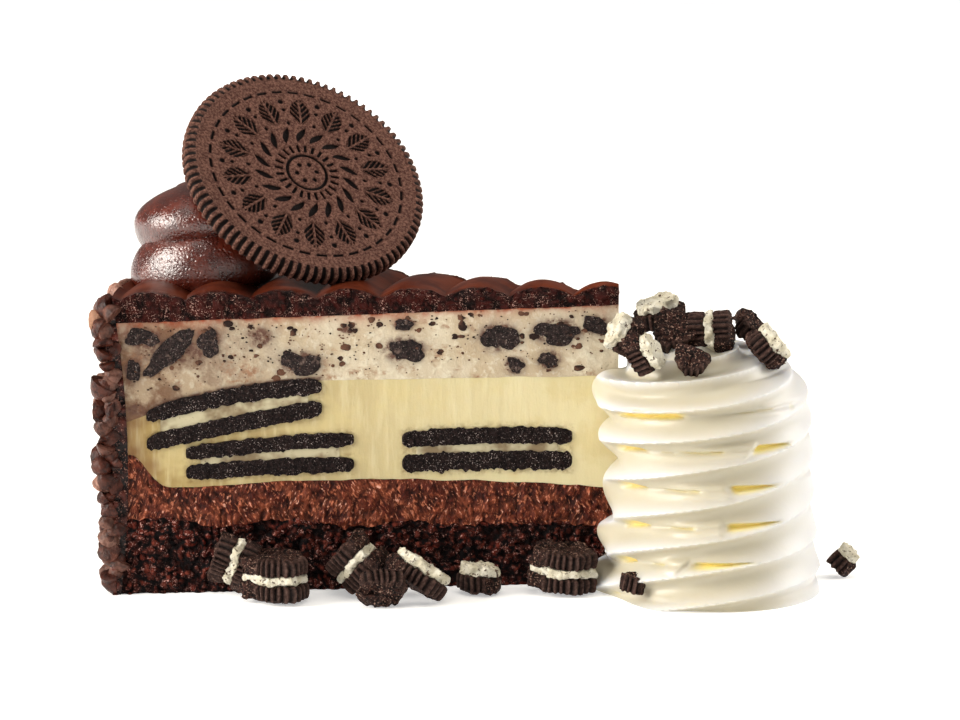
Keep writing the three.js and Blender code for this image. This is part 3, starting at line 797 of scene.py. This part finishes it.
def icing_relief(points):
    """Creased grains of 0.7 mm."""
    return 0.4 * np.abs(noise(points, 0.7, 61)) + 0.2 * rough(points, 1.4, 2, 62) - 0.12


surface, at = layer(icing_bottom, icing_top, 20, 17, icing_relief, along=400)
marks = {"cut": (np.abs(at["side"]) > 0.99) * 1.0, "raised": at["raised"]}
make("icing_beads", surface, icing_finish(), ["icing_top"], marks, 50)

# %% [markdown]
# Chocolate chips cover the rim, pressed into icing. A chip is a drop with a flat foot and a blunt point, turned
# any way. They stand in rows that are shifted and jittered, and they carry a mark for their pale bloom.

# %% Rim coat
COAT = 88.6
COAT_TOP = 49.6
CHIP_ROWS = 12
CHIP_PITCH = 4.3
CUT_CHIPS = 34


def turned(points, axis, angle):
    """Points turned about one axis by an angle."""
    first, second = (axis + 1) % 3, (axis + 2) % 3
    out = points.copy()
    out[..., first] = points[..., first] * np.cos(angle) - points[..., second] * np.sin(angle)
    out[..., second] = points[..., first] * np.sin(angle) + points[..., second] * np.cos(angle)
    return out


def chip(size, seed):
    """A drop with a flat foot: its width is a circle's down to the foot, drawn to a blunt point, and a bit uneven."""
    t = np.array([0, 0.08, 0.34, 0.62, 0.86, 0.97])[:, None]
    width = 2.3 * size * np.array([0.72, 1.0, 0.94, 0.72, 0.4, 0.16])[:, None]
    turn = np.linspace(0, 2 * np.pi, 12, endpoint=False)[None, :]
    grid = np.stack([width * np.cos(turn), width * np.sin(turn), 3.1 * size * (t - 0.4) + 0 * turn], -1)
    return grid * (1 + 0.1 * noise(grid, 1.5, seed))[..., None]


def pressed_chip(size, tilt, spin, side, reach, height, bloom, seed):
    """A chip that points out of the rim, tilted and spun, at its place. Nothing of it goes below the table."""
    shape = turned(turned(turned(chip(size, seed), 0, tilt), 2, spin), 1, -np.pi / 2)
    placed = turned(shape, 2, side * HALF) + in_slice(np.array(reach), side, np.array(height))
    placed[..., 2] = np.maximum(placed[..., 2], 0)
    return (*shell(placed), {"chip": 1.0, "bloom": bloom, "raised": 0.0})


def rim_coat():
    """A block round the wall for the icing, rows of chips, and chips that show in the cut, all in one mesh."""
    shares, quads = box_lattice(5, 50, 100)
    u, side, w = shares[:, 0], 2 * shares[:, 1] - 1, shares[:, 2]
    z = (COAT_TOP - 0.6) * w
    r = wall(z) * (1 - u) + (COAT - 0.3) * u
    points = in_slice(r, side, z)
    points += (u * 0.6 * rough(points, 1.8, 3, 71))[:, None] * (points - (TIP_X, 0, 0)) / COAT
    raised = np.where(np.abs(side) == 1, 0.7 * np.abs(noise(points, 1.6, 72)) + 0.3 * rough(points, 0.9, 2, 73) - 0.1, 0)
    for cut in (-1, 1):
        here = side == cut
        points[here] += outwards(cut)[0] * raised[here][:, None]
    points[:, 2] = np.maximum(points[:, 2], 0)
    parts = [(points, quads, {"chip": 0.0, "bloom": 0.0, "raised": raised})]
    draw = draws(9)
    columns = round(2 * HALF * COAT / CHIP_PITCH)
    for row, column in itertools.product(range(CHIP_ROWS), range(columns + 1)):
        size, tilt, spin = 0.8 + 0.35 * next(draw), np.pi * next(draw) ** 1.6, 2 * np.pi * next(draw)
        share = np.clip((column + 0.5 * (row % 2) + 0.4 * (next(draw) - 0.5)) / columns, 0.015, 0.985)
        height = 2.2 + (COAT_TOP - 2.6) * row / (CHIP_ROWS - 1) + 1.6 * (next(draw) - 0.5)
        reach = COAT - 0.4 + 1.3 * next(draw)
        parts.append(pressed_chip(size, tilt, spin, 1 - 2 * share, reach, height, next(draw), row * 31 + column))
    for side, k in itertools.product((1.0, -1.0), range(CUT_CHIPS)):
        size, tilt, spin = 0.5 + 0.35 * next(draw), 0.5 + 1.4 * next(draw), 2 * np.pi * next(draw)
        height = 1.6 + (COAT_TOP - 2) * (k + next(draw)) / CUT_CHIPS
        reach = 86.8 + 2.8 * next(draw)
        parts.append(pressed_chip(size, tilt, spin, side, reach, height, 0.5 * next(draw), 900 + k))
    parts.append(pressed_chip(0.95, 2.7, 0.4, 0.93, COAT + 1, 47.2, 1.0, 5))
    points, faces, marks = joined(parts)
    return (points, faces), marks


def chip_finish():
    finish, tree, shader = start_finish("chocolate_chips", Specular_IOR_Level=0.2)
    at = place(tree)
    is_chip, bloom, raised = mark(tree, "chip"), mark(tree, "bloom"), mark(tree, "raised")
    dust = ramp(tree, grain(tree, at, 1.4, 4, 0.65), 0.35, 0.65)
    dark = blend(tree, dust, paint(34, 12, 8), paint(76, 38, 28))
    pale = blend(tree, dust, paint(100, 63, 50), paint(168, 129, 114))
    chips = blend(tree, ramp(tree, bloom, 0.2, 1.0), dark, pale)
    chips = blend(tree, ramp(tree, bloom, 0.985, 0.99), chips, paint(170, 128, 104))
    # Painted shade: the icing in the cut is near black where it dips, and painted highlights are pale glints on it.
    icing = blend(tree, ramp(tree, raised, 0, 0.6), paint(12, 1, 1), paint(84, 34, 24))
    icing = blend(tree, ramp(tree, grain(tree, at, 0.35, 2), 0.58, 0.68, 0, 0.8), icing, paint(150, 108, 96))
    colour = blend(tree, is_chip, icing, chips)
    normal = bump(tree, grain(tree, at, 0.9, 4, 0.65), 0.3)
    wire(tree, shader, Base_Color=colour, Normal=normal, Roughness=ramp(tree, is_chip, 0, 1, 0.25, 0.34))
    return finish


surface, marks = rim_coat()
make("rim_of_chips", surface, chip_finish(), ["rim_coat"], marks)

# %% [markdown]
# The rosette is one fat rope of icing that goes round twice. Its radius falls off like an ellipse towards the top,
# and a soft groove that climbs one pitch a turn parts the two tiers.

# %% Rosette
ROSETTE_X, ROSETTE_FOOT, ROSETTE_HEIGHT, ROSETTE_PITCH = -29.7, 50.4, 18.4, 10.5


def dome(z, full, start, rise):
    """Full width up to a height, then an ellipse over the rise."""
    return full * np.sqrt(1 - np.clip((z - start) / rise, 0, 0.999) ** 2)


def rosette():
    """Radius = dome - depth·groove, with groove = 1 - |cos π(z/pitch - turn)|^0.6."""
    turn = np.linspace(0, 1, 200, endpoint=False)[None, :]
    s = np.linspace(0, 1, 130)[:, None]
    z = (ROSETTE_HEIGHT + 0.4) * (s + 0.0 * turn) ** 0.9
    width = dome(z, 13.9 - 0.09 * z, 11, 7.9) - 0.05 * np.maximum(0, 3 - z) ** 2
    phase = z / ROSETTE_PITCH - turn + 0.352
    groove = 1 - np.abs(np.cos(np.pi * phase)) ** 0.6
    reach = width - 1.9 * groove * smoothstep(width, 2, 9)
    angle = 2 * np.pi * turn
    grid = np.stack([ROSETTE_X + reach * np.cos(angle), reach * np.sin(angle), ROSETTE_FOOT + z], -1)
    return shell(grid + (0.12 * rough(grid, 5, 2, 81))[..., None])


def rosette_finish():
    finish, tree, shader = start_finish("glossy_icing", Coat_Weight=1.0, Coat_Roughness=0.15, Coat_IOR=1.8,
                                        Roughness=0.5, Specular_IOR_Level=0.05)
    at = place(tree)
    colour = blend(tree, ramp(tree, grain(tree, at, 3), 0.35, 0.7), paint(62, 18, 10), paint(92, 34, 20))
    pits = cells(tree, at, 0.7)
    normal = bump(tree, grain(tree, at, 0.45, 3, 0.65), 0.12)
    normal = bump(tree, ramp(tree, pits.outputs["Distance"], 0.1, 0.45), 0.06, normal)
    wire(tree, shader, Base_Color=colour, Normal=normal, Coat_Normal=normal)
    return finish


make("icing_rosette", rosette(), rosette_finish(), ["frosting_rosette"])

# %% [markdown]
# The cookie is a disc with a ribbed rim and a pressed face. Its face is a polar grid, and its height is a sum of
# recesses: a circle of dots, leaf pairs, a wreath and a sunburst round a plain middle. Each recess is a distance
# to its outline, made a wall by smoothstep, and that depth also darkens the finish: painted shade in the recesses
# and in the grooves between the ribs.

# %% Leaning cookie
COOKIE_MIDDLE = np.array([-12.4, 2.3, 69.8])
COOKIE_NORMAL = np.array([0.5131, -0.5583, 0.6519])
COOKIE_THICK = 3.8
RIBS = 88
PRESS = 0.5


def inside(distance, soft=0.14):
    """1 inside an outline, 0 outside it and a steep wall between."""
    return 1 - smoothstep(distance, -soft, soft)


def repeated(r, angle, count, ring, shift=0.0):
    """Along and across a motif that is repeated round a ring: the radial and the sideways way from its middle."""
    step = 2 * np.pi / count
    local = (angle / step - shift + 0.5) % 1 - 0.5
    return r * np.cos(local * step) - ring, r * np.sin(local * step)


def leaf(along, across, length, width):
    """Signed distance, roughly, to a leaf between two points: |across| - width·(1 - (along/length)²)."""
    return np.abs(across) - width * (1 - np.minimum(1.2, np.abs(along) / length) ** 2)


def face_relief(r, angle):
    """How deep the face is pressed, from 0 to 1. The leaves keep a raised rib and slanting veins."""
    along, across = repeated(r, angle, 14, 13.5)
    vein = np.abs((along - 1.1 * np.abs(across)) / 1.15 % 1 - 0.5)
    pressed = np.minimum(inside(leaf(along, across, 3.0, 1.9)), 1 - inside(np.abs(across) - 0.2, 0.1))
    depth = np.minimum(pressed, smoothstep(vein, 0.1, 0.22))
    along, across = repeated(r, angle, 14, 13.5, 0.5)
    depth = np.maximum(depth, inside(np.hypot(along - 2.2, across) - 0.5))
    depth = np.maximum(depth, inside(np.hypot(along - 0.4, across) - 0.36))
    depth = np.maximum(depth, inside(np.hypot(along + 2.6, across) - 0.34))
    along, across = repeated(r, angle, 36, 17.8)
    depth = np.maximum(depth, inside(np.maximum(np.abs(along) - 0.24, np.abs(across) - 1.0)))
    slanted = 0.6 * (r - 8.3)
    along, across = repeated(r, angle + slanted / 8.3, 18, 8.3)
    depth = np.maximum(depth, inside(leaf(along, across, 1.6, 0.68), 0.1))
    along, across = repeated(r, angle, 24, 5.2)
    depth = np.maximum(depth, inside(np.maximum(np.abs(along) - 0.75, np.abs(across) - 0.26), 0.1))
    depth = np.maximum(depth, inside(np.abs(r - 3.7) - 0.25, 0.1))
    along, across = repeated(r, angle, 6, 1.9)
    return np.maximum(depth, inside(np.hypot(along, across) - 0.42))


def cookie_grid():
    """Rows run from the middle of the back over the ribbed edge to the middle of the face."""
    half, reach = COOKIE_THICK / 2, COOKIE_RADIUS
    angle = np.linspace(0, 2 * np.pi, 616, endpoint=False)[None, :]
    rib = 0.5 + 0.5 * np.clip(1.7 * np.cos(RIBS * angle), -1, 1)
    back = np.linspace(0.05, 0.9, 8)[:, None] * reach + 0 * angle
    face = np.linspace(20.4, 0.1, 78)[:, None] + 0 * angle
    edge = [(21.2, -half), (22.0, -half + 0.35), (22.3, -half + 1.1), (22.3, half - 1.15), (22.0, half - 0.6),
            (21.4, half - 0.2), (20.9, half - 0.05), (20.6, half - 0.12)]
    ribbed = np.array([0.25, 0.7, 1, 1, 1, 1, 0.7, 0.2])[:, None]
    radius = np.vstack([back, np.array(edge)[:, :1] - 0.55 * ribbed * (1 - rib) + 0 * angle, face])
    press = face_relief(face, angle + 0 * face)
    level = np.vstack([0 * back - half, np.array(edge)[:, 1:] - 0.4 * ribbed * (1 - rib) * (np.array(edge)[:, 1:] > 0),
                       half - 0.32 - PRESS * press])
    # Painted shade: the mark dark is the recesses and the grooves between the ribs.
    dark = np.vstack([0 * back, 0.9 * ribbed * (1 - rib), press])
    flat = np.stack([radius * np.cos(angle), radius * np.sin(angle), level], -1)
    flat[..., 2] += 0.035 * rough(flat, 1.2, 3, 91)
    return flat, dark


def standing(flat, normal, middle):
    """Turns a shape that lies flat so that its Z points along a normal, and moves it to its middle."""
    up = normal / np.linalg.norm(normal)
    right = np.cross((0, 0, 1), up)
    right /= np.linalg.norm(right)
    return flat @ np.array([right, np.cross(up, right), up]) + middle


def cookie_finish():
    finish, tree, shader = start_finish("pressed_cocoa_biscuit", Roughness=0.7, Specular_IOR_Level=0.16)
    at = place(tree)
    flecks = grain(tree, at, 0.45, 4, 0.7)
    colour = blend(tree, ramp(tree, flecks, 0.35, 0.7), paint(60, 33, 26), paint(122, 86, 73))
    # Painted shade: almost black where the mark dark says a recess or a rib groove is.
    colour = blend(tree, ramp(tree, mark(tree, "dark"), 0.1, 0.75), colour, paint(10, 1, 0))
    normal = bump(tree, flecks, 0.2)
    wire(tree, shader, Base_Color=colour, Normal=normal)
    return finish


flat, dark = cookie_grid()
surface = shell(standing(flat, COOKIE_NORMAL, COOKIE_MIDDLE))
dark = np.concatenate([[0], dark.ravel(), [0]])
make("leaning_cookie", surface, cookie_finish(), ["top_cookie"], {"dark": dark}, 60)


# %% [markdown]
# Whipped cream is squeezed through a star nozzle and coiled upwards, so two patterns cross on it. Thin crests wind
# up to the right with wide hollows between them, and the seams between the coils run almost level. Where a seam
# crosses a hollow it opens into two deep pockets, and a tooth of cream stands between them. The surface is a round
# tower, and one function says how deep each of its points lies below the crests.

# %% Whipped cream
CREAM_X, CREAM_TOP = 60.0, 43.4
SHOULDER = 33.0
CREST_HEIGHTS = [-9, -3.5, 1.7, 7.1, 12.2, 18.0, 24.4, 29.6, 34.6, 40.0, 45.5, 51, 56.5, 62]
SEAM_HEIGHTS = [-4.8, 1.6, 8.0, 14.2, 20.4, 26.9, 33.4, 40, 46.5, 53, 59.5]
LOBE_HEIGHTS = [3.0, 5.9, 10.0, 12.8, 18.6, 22.7, 26.4, 29.9, 35.7, 42]
STARTS = 4
FACING = 78


def cream_profile(s):
    """Radius and height along the tower's side and over its top, with the directions out of it and the way there.
    The side leans in a little and swells in rings, and the top is a quarter of a flattened circle."""
    t = np.linspace(0, 1, 400)
    side = np.stack([19.5 - 0.03 * SHOULDER * t + 0.4 * np.cos(SHOULDER * t / 5), SHOULDER * t], -1)
    swing = t[1:] * np.pi / 2
    over = np.stack([side[-1, 0] * np.cos(swing) ** 0.8, SHOULDER + (CREAM_TOP - SHOULDER) * np.sin(swing)], -1)
    line = np.vstack([side, over])
    way = np.concatenate([[0], np.cumsum(np.linalg.norm(np.diff(line, axis=0), axis=1))])
    at = s * way[-1]
    slope = np.gradient(line, way, axis=0)
    outward = np.interp(at, way, slope[:, 1]), -np.interp(at, way, slope[:, 0])
    return np.interp(at, way, line[:, 0]), np.interp(at, way, line[:, 1]), outward, at


def comet(share, off, start, length, width):
    """A hollow that is blunt at its start and tapers to a point: its half width is width·(1 - share of length)^0.7."""
    along = (share - start) / length
    half = width * np.clip(1 - along, 0, 1) ** 0.7
    return smoothstep(half - np.abs(off), -0.1, 0.5) * smoothstep(along, 0, 0.14) * (along < 1)


def lobes(at):
    """Rounded lobes with sharp notches between: 1 - |cos π·phase|, with the phase whole at each lobe."""
    phase = np.interp(at, LOBE_HEIGHTS, np.arange(len(LOBE_HEIGHTS)) / 2)
    return 3.1 * (1 - np.abs(np.cos(np.pi * phase))) + 1.3 * np.exp(-(((at - 23) / 6) ** 2))


def cream_depth(at, facing):
    """Depth below the crests, and two shares for the finish: painted shade in the hollows and where the tower faces
    the camera, and painted light in the pockets. Crests are where the number of crests below, less four for each
    turn, is whole. share runs from one crest to the next one below it, and the hollow is close to
    |sin π·share^0.6|^0.8, so it drops fast under a crest. off is the distance to the nearest seam. Where the tower
    faces left, crests run together into fewer, rounder lobes."""
    turn, swing = facing / 360, np.sin(np.radians(facing))
    steep = 0.14 + 0.26 * smoothstep(at, 22, 32)
    bend = np.sin(np.radians(facing - 110)) + np.sin(np.radians(110))
    crest = np.interp(at, CREST_HEIGHTS, np.arange(len(CREST_HEIGHTS))) - STARTS * turn - steep * bend
    crest += 0.55 * (1 - smoothstep(at, 5, 20)) * (1 - np.cos(np.radians(facing)))
    seam = np.interp(at, SEAM_HEIGHTS, np.arange(len(SEAM_HEIGHTS))) - 0.14 * swing
    share, off = -crest % 1, 6.4 * (seam - np.round(seam))
    on_seam = (share + off / 6) % 1
    hollow = (1.9 - 1.2 * swing) * ((np.sin(np.pi * share**0.6) ** 2 + 0.02) ** 0.4 - 0.209) / 0.8
    left = np.exp(-(((facing + 95) / 27) ** 2))
    clear = smoothstep(np.minimum(share, 1 - share), 0.03, 0.12)
    begins = clear * comet(on_seam, off, 0.03, 0.28, 1.2) * (1 - smoothstep(np.abs(facing + 40), 18, 30))
    ends = clear * comet(on_seam, off, 0.69, 0.32, 0.85) * (1 - smoothstep(np.abs(facing - 20), 24, 36))
    pocket = np.maximum(begins, ends)
    slit = comet(1 - on_seam, off, 0.42, 0.24, 0.4) * (1 - smoothstep(np.abs(facing), 24, 44))
    tooth = smoothstep(on_seam, 0.36, 0.62) * smoothstep(0.695 - on_seam, 0, 0.03) * smoothstep(1.7 - np.abs(off), 0, 1.2)
    tooth *= 1 - smoothstep(np.abs(facing - 6), 26, 40)
    seam_line = 0.3 * np.exp(-((off / 0.45) ** 2)) * np.sin(np.pi * share)
    depth = hollow + 1.4 * pocket + 0.7 * slit + seam_line - 0.7 * tooth
    # Painted shade: the tower is darker where it faces the camera.
    painted_front_shade = np.exp(-((facing / 42) ** 2))
    return depth * (1 - left) + lobes(at) * left, hollow / 3 + 0.5 * painted_front_shade, (pocket + 0.5 * slit) * (1 - left)


def whipped_cream():
    angle = np.linspace(0, 2 * np.pi, 380, endpoint=False)[None, :]
    s = np.linspace(0.0, 0.998, 205)[:, None]
    radius, height, outward, at = cream_profile(s + 0 * angle)
    facing = (np.degrees(angle) + FACING + 180) % 360 - 180
    depth, hollow, pocket = cream_depth(at, facing + 0 * s)
    fade = smoothstep(radius, 0.5, 7)
    reach = radius - outward[0] * depth * fade
    z = np.maximum(0, height - outward[1] * depth * fade)
    lean = -1.7 * smoothstep(z, 12, 40)
    grid = np.stack([CREAM_X + lean + reach * np.cos(angle), reach * np.sin(angle), z], -1)
    # hollow carries painted shade and pocket carries painted light in the finish.
    marks = {"hollow": hollow, "pocket": pocket}
    return shell(grid), {mark: np.concatenate([[0], (m * fade).ravel(), [0]]) for mark, m in marks.items()}


def cream_finish():
    finish, tree, shader = start_finish("whipped_cream", Roughness=0.4, Subsurface_Weight=0.3,
                                        Subsurface_Radius=(4, 3, 1.8), Subsurface_Scale=MM)
    at = place(tree)
    # Painted shade: greyer in the hollows and where the tower faces the camera.
    colour = blend(tree, ramp(tree, mark(tree, "hollow"), 0, 1), paint(208, 209, 211), paint(188, 181, 160))
    # Painted light: warm yellow in the pockets, as light through the cream would give.
    colour = blend(tree, mark(tree, "pocket"), colour, paint(248, 232, 150))
    wire(tree, shader, Base_Color=colour, Normal=bump(tree, grain(tree, at, 1.5, 2), 0.03))
    return finish


surface, marks = whipped_cream()
make("cream_tower", surface, cream_finish(), ["whipped_cream"], marks, 60)

# %% [markdown]
# Each broken cookie is a stack of ragged slabs: wafer, pale filling, wafer. A slab's outline is a polygon of
# drawn corners, the same as its solid's, one stretch of its edge keeps the cookie's ribs, and the broken stretches
# are rough. A mark tells the finish which slabs are filling.

# %% Broken cookies
CRUMBS = {
    "cream_crumb_back": ((50.4, 4.2, 47.4), 4.9, "open", (8, -14, 20)),
    "cream_crumb_left": ((46.6, -8, 45.2), 3.9, "open", (30, -58, 0)),
    "cream_crumb_front": ((50.7, -14.2, 43), 4, "open", (12, 66, 0)),
    "cream_crumb_middle": ((54.2, -4.9, 45.2), 4.6, "wafer", (55, 8, 0)),
    "cream_crumb_upright": ((60.6, -3.4, 45.6), 4.6, "whole", (0, 84, 0)),
    "cream_crumb_small": ((58.9, -14.4, 41.6), 3.4, "wafer", (60, 20, 0)),
    "cream_crumb_right": ((67.2, 1, 45.4), 3.8, "wafer", (20, 35, 0)),
    "cream_crumb_outer": ((70.9, -5.4, 43), 4.6, "open", (16, 48, 30)),
    "foot_crumb_flat": ((-10.6, -24.6), 7.4, "whole", (0, 0, 0)),
    "foot_crumb_leaning": ((-18.4, -22.6), 5.3, "whole", (0, -70, 8)),
    "foot_crumb_raised": ((2.2, -18.9), 5.8, "whole", (0, -48, 0)),
    "foot_crumb_pair": ((13.3, -20.2), 6.4, "open", (-18, 30, 0)),
    "foot_crumb_edge": ((8.4, -26.4), 4.9, "wafer", (-62, 12, 25)),
    "foot_crumb_pale": ((22.3, -12.8), 4.2, "open", (0, 4, 0)),
    "foot_crumb_ragged": ((36.1, -9.4), 6.6, "whole", (4, 6, 0)),
    "stray_crumb_left": ((49.4, -15.8, 3.8), 2.4, "wafer", (0, 10, 0)),
    "stray_crumb_right": ((83, 11.6), 2.9, "open", (0, 40, 0)),
}
STACKS = {
    "whole": [(-3.6, -0.7, 1, False), (-0.8, 0.8, 0.9, True), (0.7, 3.6, 0.96, False)],
    "open": [(-2.3, 0.7, 1, False), (0.6, 2.3, 0.86, True)],
    "wafer": [(-1.6, 1.6, 1, False)],
}
CORNERS = 7
RIB_PITCH = 1.6
FLATNESS = 0.82
FIRST_SEED = 301


def outline(reach, seed, turn):
    """The distance to a polygon's edge in each direction: corner × edge over direction × edge."""
    draw = draws(seed)
    angles, radii = [], []
    for k in range(CORNERS):
        angles.append(2 * np.pi * (k + 0.5 * (next(draw) - 0.5)) / CORNERS)
        radii.append(reach * (0.74 + 0.34 * next(draw)))
    angles, radii = np.array(angles), np.array(radii)
    corner = np.stack([radii * np.cos(angles), FLATNESS * radii * np.sin(angles)], -1)
    bearing = np.arctan2(corner[:, 1], corner[:, 0])
    edge = np.roll(corner, -1, axis=0) - corner
    way = (turn - bearing[0]) % (2 * np.pi)
    number = np.searchsorted((bearing - bearing[0]) % (2 * np.pi), way, side="right") - 1
    here, along = corner[number], edge[number]
    return (here[..., 0] * along[..., 1] - here[..., 1] * along[..., 0]) / (
        np.cos(turn) * along[..., 1] - np.sin(turn) * along[..., 0])


def slab(low, high, share, pale, reach, seed):
    """Rows from the middle of the underside over the edge to the middle of the top, with how much of each point is
    unbroken edge and how much is groove. The ribs are a cosine with a whole number of waves round the edge."""
    ribs_round = round(2 * np.pi * reach / RIB_PITCH)
    turn = np.linspace(0, 2 * np.pi, 5 * ribs_round, endpoint=False)[None, :]
    edge = share * outline(reach, seed, turn)
    ways = [(0.15, 0), (0.4, 0), (0.62, 0), (0.8, 0), (0.92, 0.02), (0.98, 0.08), (1, 0.2), (1.01, 0.35), (1.01, 0.5),
            (1.01, 0.65), (1, 0.8), (0.98, 0.92), (0.92, 0.98), (0.8, 1), (0.62, 1), (0.4, 1), (0.15, 1)]
    out, up = np.array(ways)[:, :1], np.array(ways)[:, 1:]
    whole = 0 * turn if pale else smoothstep(np.cos(turn + np.pi / 2 + 0.7 * (seed % 3 - 1)), 0.1, 0.5)
    whole = whole * smoothstep(out, 0.6, 0.95)
    ribs = whole * (0.5 + 0.5 * np.cos(ribs_round * turn))
    radius = out * edge - 0.55 * ribs * (np.abs(up - 0.5) < 0.45)
    z = low + (high - low) * up - 0.4 * ribs * np.sign(up - 0.5) * (np.abs(up - 0.5) > 0.4)
    grid = np.stack([radius * np.cos(turn), radius * np.sin(turn), z + 0 * turn], -1)
    broken = (0.42 if pale else 0.55) * min(1, reach / 4) * (1 - 0.8 * whole)
    lumps = np.stack([rough(grid, 1.5, 4, seed + k) for k in (1, 2, 3)], -1)
    return grid + lumps * broken[..., None], whole, ribs


def crumb_finish():
    finish, tree, shader = start_finish("broken_biscuit", Specular_IOR_Level=0.14)
    at = place(tree)
    pale = mark(tree, "pale")
    flecks = grain(tree, at, 0.6, 4, 0.7)
    dark = blend(tree, ramp(tree, flecks, 0.42, 0.62), paint(4, 0, 0), paint(64, 38, 31))
    # Painted highlight: small pale flecks on the wafer.
    dark = blend(tree, ramp(tree, grain(tree, at, 0.35, 2), 0.59, 0.66, 0, 0.9), dark, paint(166, 132, 116))
    edge = blend(tree, ramp(tree, flecks, 0.35, 0.7), paint(58, 38, 33), paint(98, 74, 66))
    # Painted shade: near black in the grooves between the ribs, by the mark groove.
    dark = blend(tree, mark(tree, "whole"), dark, blend(tree, mark(tree, "groove"), edge, paint(4, 0, 0)))
    light = blend(tree, ramp(tree, grain(tree, at, 2), 0.4, 0.6), paint(210, 202, 178), paint(234, 229, 212))
    light = blend(tree, ramp(tree, grain(tree, at, 0.7, 3), 0.58, 0.66), light, paint(84, 62, 48))
    normal = bump(tree, flecks, 0.7)
    wire(tree, shader, Base_Color=blend(tree, pale, dark, light), Normal=normal, Roughness=ramp(tree, pale, 0, 1, 0.6, 0.5))
    return finish


def crumb(at, reach, stack, turns, seed):
    """The slabs of one piece, turned about X, Y and Z and set down at its place."""
    parts = []
    for k, (low, high, share, pale) in enumerate(STACKS[stack]):
        grid, whole, ribs = slab(low, high, share, pale, reach, seed)
        for axis, degrees in enumerate(turns):
            grid = turned(grid, axis, np.radians(degrees))
        own = {"whole": np.concatenate([[0], whole.ravel(), [0]]), "groove": np.concatenate([[0], ribs.ravel(), [0]])}
        parts.append((*shell(grid), {"pale": float(pale), **own}))
    points, faces, marks = joined(parts)
    lift = at[2] if len(at) > 2 else -points[:, 2].min()
    return (points + (at[0], at[1], lift), faces), marks


biscuit = crumb_finish()
for k, (node, (at, reach, stack, turns)) in enumerate(CRUMBS.items()):
    surface, marks = crumb(at, reach, stack, turns, FIRST_SEED + k)
    make(f"{node}_broken", surface, biscuit, [node], marks)
